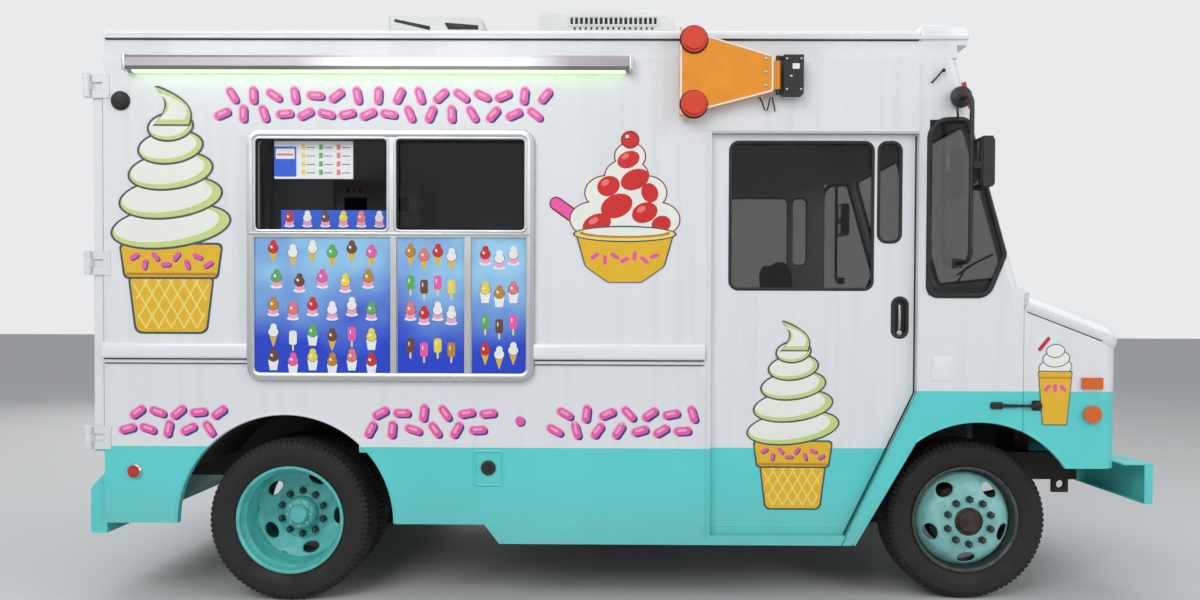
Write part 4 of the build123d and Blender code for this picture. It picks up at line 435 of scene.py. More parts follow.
# Brushed aluminium: long scratches along X, drawn 2 mm apart so that they show
def brushed(name, colour, roughness):
    material, tree, shader, coords = newFinish(name, colour, Roughness=roughness, Metallic=1.0)
    lines = addNode(tree, "Mapping", {"Vector": coords, "Scale": (2.0, 500.0, 500.0)})
    scratches = addNode(tree, "TexNoise", {"Vector": lines, "Scale": 1.0, "Detail": 3.0})
    rough = addNode(tree, "MapRange", {"Value": scratches, "To Min": roughness * 0.7,
        "To Max": roughness * 1.5})
    clouds = addNode(tree, "TexNoise", {"Vector": coords, "Scale": 1.5, "Detail": 3.0})
    dull = addNode(tree, "Mix", {0: clouds, 6: colour, 7: "8F8B8D"}, data_type="RGBA").outputs[2]
    # the middle length is painted brighter than both ends: a painted highlight along the box
    x = addNode(tree, "SeparateXYZ", {"Vector": coords}).outputs["X"]
    rise = addNode(tree, "MapRange", {"Value": x, "From Min": -1.55, "From Max": -1.25})
    fall = addNode(tree, "MapRange", {"Value": x, "From Min": -0.24, "From Max": -0.46})
    paintedHighlight = addNode(tree, "Math", {0: rise, 1: fall}, operation="MULTIPLY")
    tone = addNode(tree, "Mix", {0: paintedHighlight, 6: dull, 7: "C2C4C9"}, data_type="RGBA").outputs[2]
    relief = addNode(tree, "Bump", {"Height": scratches, "Strength": 0.1, "Distance": 0.0005})
    feed(tree, shader, {"Base Color": tone, "Normal": relief, "Roughness": rough})
    return material


lightBoxFinish = brushed("brushed aluminium", "9C979A", 0.34)


# Smoke-grey safety glass that a film of grime dulls in patches
def glassFinish(name, colour, alpha, roughness=0.03):
    material, tree, shader, coords = newFinish(name, colour, Roughness=roughness, IOR=1.45, Alpha=alpha,
        Specular_IOR_Level=0.5)
    film = addNode(tree, "TexNoise", {"Vector": coords, "Scale": 7.0, "Detail": 6.0})
    haze = addNode(tree, "MapRange", {"Value": film, "From Min": 0.4, "From Max": 0.8, "To Min": roughness,
        "To Max": roughness + 0.1})
    feed(tree, shader, {"Roughness": haze})
    return material


windowFinish = glassFinish("tempered glass, tinted", "0B1112", 0.42)
lampGlassFinish = glassFinish("fluted lamp glass", "D8DEE0", 0.45, 0.08)


# Tinted acrylic lamp lens: a bright core with fine prisms 4 mm apart
def lensFinish(name, colour, deeper):
    material, tree, shader, coords = newFinish(name, colour, Roughness=0.18, Coat_Weight=0.5, IOR=1.49)
    prisms = addNode(tree, "TexVoronoi", {"Vector": coords, "Scale": 250.0}).outputs["Distance"]
    tone = addNode(tree, "Mix", {0: prisms, 6: deeper, 7: colour}, data_type="RGBA").outputs[2]
    relief = addNode(tree, "Bump", {"Height": prisms, "Strength": 0.3, "Distance": 0.001})
    feed(tree, shader, {"Base Color": tone, "Normal": relief})
    return material


redLensFinish = lensFinish("acrylic lens, red", "E2261B", "9A0E0A")
orangeLensFinish = lensFinish("acrylic lens, orange red", "F5461A", "C92A0A")
amberLensFinish = lensFinish("acrylic lens, amber", "F5781E", "C9500A")
# The acrylic cover of the lamp tube glows: its light is set on the shader, a greenish white
tubeFinish = newFinish("lit acrylic diffuser", "F2FFE8", Roughness=0.4, Emission_Color="BDF592",
    Emission_Strength=2.0)[0]


# Upholstery vinyl: pebbled leather grain, cells 3 mm apart, with painted shade darkening the creases
def vinylFinish(name, colour, creaseShade):
    material, tree, shader, coords = newFinish(name, colour, Roughness=0.48, IOR=1.5)
    cells = addNode(tree, "TexVoronoi", {"Vector": coords, "Scale": 330.0}, feature="DISTANCE_TO_EDGE")
    ridge = addNode(tree, "MapRange", {"Value": cells.outputs["Distance"], "From Max": 0.12})
    # the cells' edges are painted darker: painted shade in the creases
    tone = addNode(tree, "Mix", {0: ridge, 6: creaseShade, 7: colour}, data_type="RGBA").outputs[2]
    relief = addNode(tree, "Bump", {"Height": ridge, "Strength": 0.35, "Distance": 0.0008})
    feed(tree, shader, {"Base Color": tone, "Normal": relief})
    return material


seatFinish = vinylFinish("grained vinyl", "2B2B2E", "151517")

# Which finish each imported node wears; the nodes not named here are replaced further down
nodeFinishes = {
    bodyFinish: "right_wall left_wall right_door left_door rear_frame rear_door_right rear_door_left",
    noseFinish: "cab_front hood",
    whiteFinish: "roof rear_hinges",
    plasticFinish: "roof_units",
    windowFinish: "body_glass left_door_glass "
        "right_door_glass rear_door_glass_left rear_door_glass_right",
    frameFinish: "frame rear_axle front_axle leaf_springs fuel_tank "
        "floor rear_floor cab_floor wheel_boxes radiator",
    castFinish: "engine drive_line steering_knuckle_right steering_knuckle_left tie_rod",
    exhaustFinish: "exhaust",
    trimFinish: "serving_frame menu_boards",
    lightBoxFinish: "light_box",
    chromeFinish: "grille",
    lampGlassFinish: "headlamps",
    bumperFinish: "front_bumper rear_bumper",
    blackFinish: "sign_bracket mirrors seat_base",
    gasketAndShadeFinish: "door_stops steering_wheel",
    amberFinish: "sign_arm",
    redLensFinish: "marker_lamps",
    amberLensFinish: "hood_lamps",
    orangeLensFinish: "sign_lamps",
    greyFinish: "dashboard engine_cover",
    stainlessFinish: "galley_cabinets soft_serve_machine",
}
for finish, names in nodeFinishes.items():
    for name in names.split():
        for slot in nodes[name].material_slots:
            slot.material = finish
print("finishes on", sum(len(names.split()) for names in nodeFinishes.values()), "nodes")


# Wheels: treaded tyres and dished steel rims with hand holes, nuts and hubs

wheels = {"tyreRadius": 0.4, "treadHalf": 0.095, "wallHalf": 0.1125, "beadHalf": 0.084, "beadRadius": 0.262,
    "grooveDepth": 0.011, "grooveWidth": 0.009, "grooves": (-0.058, -0.02, 0.02, 0.058), "zigzag": 0.005,
    "zigzags": 44, "shoulderCuts": 88, "turns": 352}


# A tyre: for each point across its section and each angle round it, the radius is the section's own,
# less a smooth groove wherever a wavy circumferential groove or a shoulder cut passes
def tyreShape(centre):
    across = np.linspace(-wheels["treadHalf"], wheels["treadHalf"], 57)
    crown = wheels["tyreRadius"] - 0.006 * (across / wheels["treadHalf"]) ** 4
    t = np.linspace(0, 1, 15)[1:]
    wallRadius = crown[-1] + (wheels["beadRadius"] - crown[-1]) * t
    swell = np.sin(np.pi * t ** 0.8)
    wallAcross = wheels["treadHalf"] + (wheels["beadHalf"] - wheels["treadHalf"]) * t + 0.024 * swell
    wallAcross = np.minimum(wallAcross, wheels["wallHalf"])
    wallAcross += 0.0016 * ((np.abs(t - 0.22) < 0.04) | (np.abs(t - 0.9) < 0.05))  # two thin ribs
    y = np.concatenate([-wallAcross[::-1], across, wallAcross])
    r = np.concatenate([wallRadius[::-1], crown, wallRadius])
    angle = wholeTurn(wheels["turns"])
    wave = wheels["zigzag"] * (2 * np.abs((angle * wheels["zigzags"] / (2 * np.pi)) % 1 - 0.5) - 0.5) * 2
    cut = np.zeros((len(y), len(angle)))
    tread = np.abs(y) <= wheels["treadHalf"] + 1e-6
    for groove in wheels["grooves"]:
        gap = np.abs(y[:, None] - groove - wave[None, :])
        cut = np.maximum(cut, np.clip(1.6 - gap / (wheels["grooveWidth"] / 2), 0, 1))
    notch = np.abs((angle * wheels["shoulderCuts"] / (2 * np.pi)) % 1 - 0.5) < 0.14
    shoulder = (np.abs(y) > 0.07) & (np.abs(y) <= wheels["wallHalf"]) & (r > 0.372)
    cut = np.maximum(cut, 0.7 * (shoulder[:, None] & notch[None, :]))
    radius = r[:, None] - wheels["grooveDepth"] * cut * (tread | shoulder)[:, None]
    x = centre[0] + radius * np.cos(angle)
    z = centre[2] + radius * np.sin(angle)
    points = np.stack([x, np.broadcast_to(centre[1] + y[:, None], x.shape), z], -1)
    inner = [(y[-1] * 0.98, wheels["beadRadius"] - 0.004), (y[0] * 0.98, wheels["beadRadius"] - 0.004)]
    bore = np.stack([np.stack([centre[0] + br * np.cos(angle), np.full(len(angle), centre[1] + by),
        centre[2] + br * np.sin(angle)], -1) for by, br in inner])
    return gridShape(np.concatenate([points, bore]), closeRows=True, closeColumns=True)


# A wheel disc with hand holes: round each hole the surface runs from the hole's edge out to its own
# share of the disc, and its height is that of the disc's profile at each radius
def discShape(centre, side, disc):
    around = wholeTurn(48)
    shapes = []
    share = np.pi / disc["holes"]
    u, v = np.cos(around), np.sin(around)
    # the share's edge: the ray from the hole's middle that meets a rectangle of angle by radius
    shareHalf = share * disc["ring"]
    up, down = disc["outer"] - disc["ring"], disc["ring"] - disc["inner"]
    reach = np.minimum(shareHalf / np.maximum(np.abs(u), 1e-6),
        np.where(v > 0, up, down) / np.maximum(np.abs(v), 1e-6))
    holeU, holeV = disc["holeLength"] / 2 * u, disc["holeWidth"] / 2 * v
    edgeU, edgeV = u * reach, v * reach
    blend = np.concatenate([[0.0, 0.06], np.linspace(0.16, 1, 9)])
    for number in range(disc["holes"]):
        start = np.radians(disc["start"]) + 2 * share * number
        a = start + (holeU + (edgeU - holeU) * blend[:, None]) / disc["ring"]
        r = disc["ring"] + holeV + (edgeV - holeV) * blend[:, None]
        height = np.interp(r, disc["profile"][0], disc["profile"][1])
        rolled = np.where(blend < 0.1, -0.006 * (1 - blend / 0.1), 0.0)[:, None]
        front = np.stack([a, r, height + rolled], -1)
        back = np.stack([a, r, height - disc["thick"]], -1)[::-1]
        every = np.concatenate([back, front])
        x = centre[0] + every[..., 1] * np.cos(every[..., 0])
        z = centre[2] + every[..., 1] * np.sin(every[..., 0])
        y = centre[1] + side * every[..., 2]
        shapes.append(gridShape(np.stack([x, y, z], -1), closeColumns=True))
    return joined(*shapes)


rearWheel = {"centre": (-1.634, 0.0, 0.4), "twins": (0.695, 0.965), "holes": 5, "start": -5.0,
    "ring": 0.187, "inner": 0.132, "outer": 0.226, "holeLength": 0.088, "holeWidth": 0.054, "thick": 0.012,
    "profile": ([0.1, 0.132, 0.15, 0.2, 0.226], [0.846, 0.846, 0.85, 0.864, 0.88]), "seat": 0.852}
frontWheel = {"centre": (1.744, 0.0, 0.4), "middle": 0.865, "holes": 5, "start": 54.0, "ring": 0.188,
    "inner": 0.136, "outer": 0.236, "holeLength": 0.088, "holeWidth": 0.06, "thick": 0.012,
    "profile": ([0.1, 0.136, 0.155, 0.185, 0.206, 0.218, 0.236],
    [1.0, 1.0, 0.996, 0.982, 0.966, 0.94, 0.912]), "seat": 1.004}
fasteners = {"nuts": 10, "nutRing": 0.112, "nutTurn": 0.31, "bolts": 8, "boltRing": 0.06, "boltSeat": 0.909}


# The same small part in a ring round an axle, standing out of a side
def ringOf(shape, count, radius, centre, side, level, turn=0.0):
    angle = wholeTurn(count) + turn
    places = np.stack([centre[0] + radius * np.cos(angle), np.full(count, side * level),
        centre[2] + radius * np.sin(angle)], -1)
    return repeated(shape, places, sideAxes(side))


# A rim barrel's section, from its middle outwards: rolled flanges, bead seats and a drop between them
def barrelShape(centre, middle, side, drop=0.235):
    wall = np.array([(0.089, 0.262), (0.093, 0.268), (0.098, 0.266), (0.099, 0.258), (0.093, 0.251),
        (0.075, 0.249), (0.059, 0.246), (0.044, drop), (-0.059, drop), (-0.077, 0.248), (-0.095, 0.252),
        (-0.099, 0.262), (-0.093, 0.268), (-0.089, 0.262), (-0.069, 0.2595), (-0.053, drop + 0.008),
        (0.039, drop + 0.008), (0.055, 0.2575), (0.077, 0.2605)])
    return lathe(wall * (side, 1), (centre[0], side * middle, centre[2]), (0, 1, 0), 96, closed=True)


# Sections turned about the axle: how far out from the truck's middle, and the radius there
turned = {
    "rearStuds": [(0.816, 0.05), (0.816, 0.15), (0.846, 0.14), (0.852, 0.13), (0.852, 0.05)],
    "rearEdge": [(0.85, 0.224), (0.868, 0.222), (0.892, 0.228), (0.93, 0.236), (0.93, 0.243), (0.85, 0.243)],
    "rearDrum": [(0.612, 0.05), (0.612, 0.16), (0.622, 0.168), (0.812, 0.168), (0.816, 0.15), (0.816, 0.05)],
    "rearFlange": [(0.848, 0.0), (0.848, 0.096), (0.858, 0.096), (0.862, 0.086), (0.9, 0.078), (0.908, 0.07),
                   (0.912, 0.052), (0.932, 0.046), (0.938, 0.04), (0.938, 0.0)],
    "frontStuds": [(0.986, 0.045), (0.986, 0.138), (1.0, 0.138), (1.004, 0.132), (1.004, 0.045)],
    "frontCap": [(1.0, 0.0), (1.0, 0.07), (1.008, 0.07), (1.012, 0.058), (1.02, 0.054), (1.026, 0.04),
                 (1.026, 0.0)],
    "frontDrum": [(0.796, 0.05), (0.796, 0.16), (0.806, 0.168), (0.918, 0.168), (0.924, 0.15), (0.924, 0.05)],
}


def turnedShape(key, centre, side, segments=64, closed=True):
    return lathe(np.array(turned[key]) * (side, 1), centre, (0, 1, 0), segments, closed)


def wheelNuts(centre, side, level):
    wheelNut = nut(0.033, 0.02, 0.01, 0.036)
    return ringOf(wheelNut, fasteners["nuts"], fasteners["nutRing"], centre, side, level,
        fasteners["nutTurn"])


flangeBolt = nut(0.017, 0.009, 0.004, 0.012)
for hand, side in sides.items():
    rear, front = rearWheel["centre"], frontWheel["centre"]
    rearBody, frontBody = f"rear_wheels_{hand}", f"front_wheel_{hand}"
    tyres = [tyreShape((rear[0], side * y, rear[2])) for y in rearWheel["twins"]]
    piece(f"rearTyres.{hand}", tyres, tyreFinish, rearBody, [f"rear_tyres_{hand}"])
    tyre = tyreShape((front[0], side * frontWheel["middle"], front[2]))
    piece(f"frontTyre.{hand}", tyre, tyreFinish, frontBody, [f"front_tyre_{hand}"])
    # rear: both barrels, the dished disc, the stud ring, the axle's flange and the drum behind
    barrels = [barrelShape(rear, y, side) for y in rearWheel["twins"]]
    rims = joined(discShape(rear, side, rearWheel), turnedShape("rearStuds", rear, side),
        turnedShape("rearEdge", rear, side, 96), *barrels)
    piece(f"rearRims.{hand}", rims, rimFinish, rearBody, [f"rear_rims_{hand}"])
    piece(f"rearHub.{hand}", turnedShape("rearDrum", rear, side), castFinish, rearBody)
    flange = turnedShape("rearFlange", rear, side, 48, False)
    piece(f"axleFlange.{hand}", flange, rimFinish, rearBody)
    piece(f"rearNuts.{hand}", wheelNuts(rear, side, rearWheel["seat"]), lugFinish, rearBody)
    bolts = ringOf(flangeBolt, fasteners["bolts"], fasteners["boltRing"], rear, side, fasteners["boltSeat"])
    piece(f"flangeBolts.{hand}", bolts, trimFinish, rearBody)
    # front: one barrel, the domed disc, the stud ring, the hub cap and the drum
    rim = joined(discShape(front, side, frontWheel), turnedShape("frontStuds", front, side))
    piece(f"frontRim.{hand}", rim, paleRimFinish, frontBody, [f"front_rim_{hand}"])
    barrel = barrelShape(front, frontWheel["middle"], side, 0.238)
    piece(f"frontBarrel.{hand}", barrel, barrelFinish, frontBody)
    hub = joined(turnedShape("frontCap", front, side, 40, False), turnedShape("frontDrum", front, side))
    piece(f"frontHub.{hand}", hub, castFinish, frontBody)
    piece(f"frontNuts.{hand}", wheelNuts(front, side, frontWheel["seat"]), lugFinish,
        frontBody)
print("wheels done")


# The body's fittings

sideY = 1.12  # the walls' outer face
doorY = 1.077  # the side doors' outer face, inside the wall's
hoodY = 1.112  # the hood's side
rearX = -2.57  # the rear doors' outer face

# Window surrounds: a black gasket bead round each pane, its outline as the opening's
doorGlass = {"main": ((0.536, 1.232), (1.553, 2.27)), "small": ((1.26, 1.368), (1.785, 2.27)),
    "radius": 0.04, "width": 0.016, "height": 0.0036}
quarterGlass = {"points": [(1.492, 1.524), (1.778, 1.524), (1.858, 1.722), (1.672, 2.373), (1.492, 2.373)],
    "radius": (0.045, 0.07, 0.05, 0.03, 0.09), "width": 0.026, "height": 0.012}
screenGlass = {"u": (0.025, 1.02), "v": (0.05, 0.85), "radius": 0.06, "width": 0.03, "height": 0.012}
rearGlass = {"u": (0.26, 0.86), "v": (1.56, 2.16), "radius": 0.04, "width": 0.022, "height": 0.004}
for hand, side in sides.items():
    place = onSide(side, doorY)
    section = beadSection(doorGlass["width"], doorGlass["height"])
    gaskets = [bead(rectangle(*doorGlass[key], doorGlass["radius"]), place, section)
        for key in ("main", "small")]
    piece(f"doorGaskets.{hand}", gaskets, gasketAndShadeFinish, f"{hand}_door")
    quarter = bead(rounded(quarterGlass["points"], quarterGlass["radius"]), onSide(side, sideY),
        beadSection(quarterGlass["width"], quarterGlass["height"]))
    piece(f"quarterGasket.{hand}", quarter, gasketAndShadeFinish)
    u = np.array(screenGlass["u"]) * side
    pane = bead(rectangle(np.sort(u), screenGlass["v"], screenGlass["radius"]), onScreen,
        beadSection(screenGlass["width"], screenGlass["height"]))
    piece(f"screenGasket.{hand}", pane, gasketAndShadeFinish)
    u = np.sort(np.array(rearGlass["u"]) * side)
    pane = bead(rectangle(u, rearGlass["v"], rearGlass["radius"]), onRear(rearX),
        beadSection(rearGlass["width"], rearGlass["height"]))
    piece(f"rearGasket.{hand}", pane, gasketAndShadeFinish, f"rear_door_{hand}")
print("gaskets done")

# Serving window: rounded aluminium borders on the frame, round the panes and round the whole
serving = {"outer": ((-1.808, -0.423), (1.103, 2.309)), "panes": [(-1.772, -1.125), (-1.091, -0.459)],
    "paneHeights": (1.824, 2.273), "boards": [(-1.78, -1.112), (-1.084, -0.753), (-0.723, -0.451)],
    "level": 1.15}
place = onSide(-1, serving["level"])
border = bead(rectangle(*serving["outer"], 0.06), onSide(-1, sideY),
    [(-0.034, 0.0285), (-0.03, 0.0315), (-0.012, 0.0325), (0.002, 0.029), (0.008, 0.014), (0.008, -0.001),
    (-0.034, -0.001)])
paneBeads = [bead(rectangle(span, serving["paneHeights"], 0.024), place, beadSection(0.014, 0.004))
    for span in serving["panes"]]
sill = plate((-1.8, -0.431), (1.802, 1.818), 0.004, place, -0.004, 0.0025, 0.002)
piece("servingTrim", [border, sill, *paneBeads], trimFinish)
channel = [bead(rectangle((span[0] + 0.006, span[1] - 0.006), (1.83, 2.267), 0.02), onSide(-1, 1.128),
    beadSection(0.012, 0.006)) for span in serving["panes"]]
piece("servingSeals", channel, gasketAndShadeFinish)

# Rivets: domed heads 10 mm across in rows along the sides
rivet = {"radius": 0.0052, "height": 0.0024, "pitch": 0.075, "flangeZ": 1.19, "flangeLift": 0.006}
rightRows = [
    # from (x, z), to (x, z)
    ((-2.505, 0.44), (-2.505, 2.62)), ((-2.44, 2.65), (-0.02, 2.65)), ((0.02, 2.65), (1.42, 2.65)),
    ((0.46, 2.584), (1.4, 2.584)), ((0.46, 2.427), (1.4, 2.427)), ((-1.845, 1.16), (-1.845, 2.28)),
    ((-0.386, 1.16), (-0.386, 2.28)), ((0.414, 0.36), (0.414, 2.62)), ((-2.47, 1.19), (-1.86, 1.19)),
    ((-0.36, 1.19), (0.38, 1.19)), ((-2.46, 0.762), (-2.2, 0.762)), ((-1.04, 0.892), (0.38, 0.892)),
    ((-2.46, 0.892), (-1.99, 0.892)), ((-0.53, 0.395), (0.38, 0.395)), ((-0.5, 0.318), (0.38, 0.318)),
    ((-1.04, 0.412), (-0.6, 0.412)),
]
leftRows = [row for row in rightRows if abs(row[0][0] + 1.845) > 0.01 and abs(row[0][0] + 0.386) > 0.01]


# Heads in rows on a side, each row a (from, to) pair of (x, z), as near the pitch as the ends allow
def rivetHeads(rows, pitch, side, level, radius, height):
    spots = []
    for start, end in rows:
        length = np.hypot(end[0] - start[0], end[1] - start[1])
        spots.append(np.linspace(start, end, max(2, int(round(length / pitch)) + 1)))
    spots = np.concatenate(spots)
    # the rub rail's lower flange stands out of the wall, all else is the face itself
    lift = np.where(np.abs(spots[:, 1] - rivet["flangeZ"]) < 0.001, rivet["flangeLift"], 0.0)
    origins = np.stack([spots[:, 0], side * (level + lift), spots[:, 1]], -1)
    return repeated(dome(radius, height), origins, sideAxes(side))


for hand, side in sides.items():
    wallRows = rightRows if side < 0 else leftRows
    heads = rivetHeads(wallRows, rivet["pitch"], side, sideY, rivet["radius"], rivet["height"])
    piece(f"wallRivets.{hand}", heads, bodyFinish)

# On the side doors' foot rails, the cab's seams and the nose
doorRows = [((0.46, 0.372), (1.04, 0.372)), ((0.46, 0.345), (1.03, 0.345))]
cabRows = [((1.468, 1.08), (1.468, 2.63)), ((1.938, 0.9), (1.938, 1.52)), ((1.5, 2.64), (1.62, 2.64)),
    ((1.5, 1.47), (1.9, 1.47))]
for hand, side in sides.items():
    heads = rivetHeads(doorRows, 0.09, side, doorY, 0.0045, 0.002)
    piece(f"doorRivets.{hand}", heads, bodyFinish, f"{hand}_door")
    heads = rivetHeads(cabRows, 0.085, side, sideY, 0.0045, 0.002)
    piece(f"cabRivets.{hand}", heads, noseFinish)
print("rivets done")


# Trim that follows a path on a side: a half-round bar standing on the face
def sideBar(path, side, level, radius, segments=8):
    path = np.asarray(path, float)
    points = np.stack([path[:, 0], np.full(len(path), side * level), path[:, 1]], -1)
    return tube(points, radius, segments)


# Wheel arch lips, the walls' seams and the door jamb's lip
lips = {"radius": 0.007, "rearArch": 0.535, "frontArch": 0.514}
rearAxle, frontAxle = rearWheel["centre"][::2], frontWheel["centre"][::2]
for hand, side in sides.items():
    rearLip = sideBar(arcPath(rearAxle, lips["rearArch"], 0.2, 179.8, 64), side, sideY, lips["radius"])
    jamb = sideBar([(0.425, 2.3), (0.425, 0.335)], side, sideY, 0.006)
    head = sideBar([(0.425, 2.318), (1.44, 2.318)], side, sideY, 0.006)
    piece(f"wallLips.{hand}", [rearLip, jamb, head], bodyFinish)
    cabLip = sideBar(np.concatenate([[(1.143, 0.306)], arcPath(frontAxle, lips["frontArch"], 127, 67, 24)]),
        side, sideY, lips["radius"])
    post = sideBar([(1.447, 2.64), (1.447, 1.05), (1.092, 0.306)], side, sideY, 0.005)
    piece(f"cabLips.{hand}", [cabLip, post], noseFinish)
    noseLip = sideBar(np.concatenate([arcPath(frontAxle, lips["frontArch"], 64, 36, 16)]), side, hoodY,
        lips["radius"])
    piece(f"noseLip.{hand}", noseLip, noseFinish, "hood")

# The drip rail's dark shadow gap
drip = {"z": 2.7615, "from": -2.515, "to": 1.44}
for hand, side in sides.items():
    groove = plate((drip["from"], drip["to"]), (drip["z"] - 0.006, drip["z"] + 0.0005), 0.002,
        onSide(side, 1.1005), -0.002, 0.004)
    piece(f"dripShadow.{hand}", groove, gasketAndShadeFinish)
print("trim done")

# Air conditioner: white louvre blades on both sides over a black sheet, painted shade for the dark inside of
# the slots, and a row of round vents drawn as black discs of painted shade
cooler = {"level": 0.36, "slots": (-0.285, 0.215), "slotHeights": (3.057, 3.108), "blades": 18,
    "bladeWidth": 0.011, "dots": 15, "dotHeight": 3.041, "dotRadius": 0.0068}
for hand, side in sides.items():
    place = onSide(side, cooler["level"])
    dark = plate(cooler["slots"], cooler["slotHeights"], 0.012, place, -0.001, 0.0015)
    x = np.linspace(*cooler["slots"], cooler["dots"] + 2)[1:-1]
    vents = [slab(ellipse((u, cooler["dotHeight"]), (cooler["dotRadius"],) * 2, 14), place, -0.001, 0.0015)
        for u in x]
    piece(f"coolerVentShade.{hand}", [dark, *vents], gasketAndShadeFinish)
    edges = np.linspace(*cooler["slots"], cooler["blades"] + 1)
    blades = [plate((u - cooler["bladeWidth"] / 2, u + cooler["bladeWidth"] / 2), cooler["slotHeights"],
        0.003, place, 0.0, 0.007, 0.002) for u in edges]
    rim = bead(rectangle(cooler["slots"], cooler["slotHeights"], 0.012), place, beadSection(0.016, 0.008))
    piece(f"coolerBlades.{hand}", [rim, *blades], plasticFinish)
# Two black strips on the hatch's side: painted shade for its slits
hatchSlits = [plate(span, (2.884, 2.906), 0.004, onSide(-1, 0.27), -0.001, 0.002)
    for span in ((-1.28, -1.08), (-1.04, -0.84))]
piece("hatchSlits", hatchSlits, gasketAndShadeFinish)

# A tall vent shroud stands on the hatch, a closed box; black sheets on both sides are painted shade for its
# openings
shroud = {"outline": [(-1.332, 2.93), (-1.332, 3.146), (-0.782, 3.138), (-0.782, 2.93)],
    "radii": (0.002, 0.016, 0.03, 0.002), "half": 0.262,
    "openings": [[(-1.296, 3.108), (-1.296, 3.124), (-1.09, 3.082), (-1.09, 3.06)],
    [(-1.01, 3.104), (-0.812, 3.088), (-0.812, 3.064), (-0.985, 3.064)]]}
for hand, side in sides.items():
    box = slab(rounded(shroud["outline"], shroud["radii"]), onSide(side, 0.0), 0.0, shroud["half"], 0.012)
    piece(f"ventShroud.{hand}", box, plasticFinish)
    dark = [slab(rounded(opening, 0.005), onSide(side, shroud["half"]), -0.001, 0.0015)
        for opening in shroud["openings"]]
    piece(f"ventOpeningShade.{hand}", dark, gasketAndShadeFinish)

# Canopy light: end caps and a lit diffuser under the box
canopy = {"x": (-2.393, 0.049)}
ends = [plate((x - 0.008, x + 0.008), (2.59, 2.67), 0.006, onSide(-1, sideY), 0.0, 0.064, 0.004)
    for x in (canopy["x"][0] + 0.004, canopy["x"][1] - 0.004)]
piece("canopyCaps", ends, trimFinish)
diffuser = plate((canopy["x"][0] + 0.03, canopy["x"][1] - 0.03), (2.59, 2.597), 0.003,
    onSide(-1, sideY + 0.01), 0.0, 0.028, 0.003)
piece("canopyLight", diffuser, tubeFinish)
print("roof and light done")


# Printed film on the sides: every shape is a thin plate a little prouder than the last

inkColours = {
    "outline": ("slate", "3D5560", "33474F"),
    "cream": ("cream", "F4F6EE", "E6EADF"),
    "lime": ("lime shade", "CFDF8C", "BFD07C"),
    "wafer": ("wafer", "EDBE27", "DDA81A"),
    "waferLine": ("pale lattice", "F9E27E", "F0D25F"),
    "waferShade": ("caramel", "C98A16", "B77A10"),
    "pink": ("pink", "F35CAE", "EA4BA0"),
    "palePink": ("pale pink", "FBA8D2", "F597C7"),
    "navy": ("navy", "3F3A8E", "34307C"),
    "red": ("red", "D8201F", "B91517"),
    "darkRed": ("dark red", "8F1216", "7C0D11"),
    "rose": ("rose", "F07C7A", "E4686A"),
    "brown": ("cocoa", "6E4023", "5B331A"),
    "lemon": ("lemon", "F3DE4A", "E8CF35"),
    "leaf": ("green", "5FB45A", "4B9E48"),
    "white": ("white", "F5F7F8", "E9ECEE"),
    "blue": ("blue", "1D5FE0", "174FC4"),
}
# Printed vinyl film: one flat ink, laid with a faint mottle and a satin skin
inks = {key: weathered(f"printed film, {look}", colour, shade, 0.05, 0.4, 0.004, 0.04, Roughness=0.35)
    for key, (look, colour, shade) in inkColours.items()}
film = 0.00009  # one layer's thickness, enough to keep the inks apart from any view


# Gathers plates by ink, each on top of the last, and makes one piece of each ink. A drawing is given
# in shares of its size, counted from its foot
class Print:
    def __init__(self, place):
        self.place, self.shapes = place, {}
        self.restart()

    def restart(self):
        self.level = 0.0008

    def begin(self, x, z, size):
        self.foot, self.size = np.array((x, z)), size

    def at(self, shares):
        return self.foot + np.array(shares) * self.size

    def add(self, ink, outline, raised=True):
        if raised:
            self.level += film
        layer = slab(outline, self.place, self.level - film * 1.5, self.level)
        self.shapes.setdefault(ink, []).append(layer)

    def patch(self, ink, corners, radius, steps=7):
        self.add(ink, rounded(self.at(corners), np.array(radius) * self.size, steps))

    def oval(self, ink, middle, radii, steps=28, lean=0.0):
        self.add(ink, ellipse(self.at(middle), np.array(radii) * self.size, steps, lean))

    def bar(self, ink, middle, length, width, lean, steps=7, raised=True):
        outline = stadium(self.at(middle), length * self.size, width * self.size, lean, steps)
        self.add(ink, outline, raised)

    def make(self, name, body, slot):
        for ink, shapes in self.shapes.items():
            piece(f"{name}.{ink}", shapes, inks[ink], body)


# A rounded bar shape: a stadium of a length and width, leaning by an angle
def stadium(centre, length, width, lean, steps=7):
    t = np.concatenate([np.linspace(-np.pi / 2, np.pi / 2, steps),
        np.linspace(np.pi / 2, 3 * np.pi / 2, steps)])
    reach = (length - width) / 2
    u = width / 2 * np.cos(t) + np.where(np.arange(2 * steps) < steps, reach, -reach)
    return leaned(centre, u, width / 2 * np.sin(t), lean)


# Where a line through a point enters and leaves a convex outline
def clippedLine(corners, point, direction):
    corners = np.array(corners, float)
    along = np.roll(corners, -1, 0) - corners
    inward = np.stack([-along[:, 1], along[:, 0]], -1)
    if ((corners.mean(0) - corners) * inward).sum() < 0:
        inward = -inward
    speed = inward @ direction
    gap = ((np.asarray(point) - corners) * inward).sum(1)
    t = -gap / np.where(np.abs(speed) < 1e-9, 1e-9, speed)
    return np.max(np.where(speed > 0, t, -1e9)), np.min(np.where(speed < 0, t, 1e9))


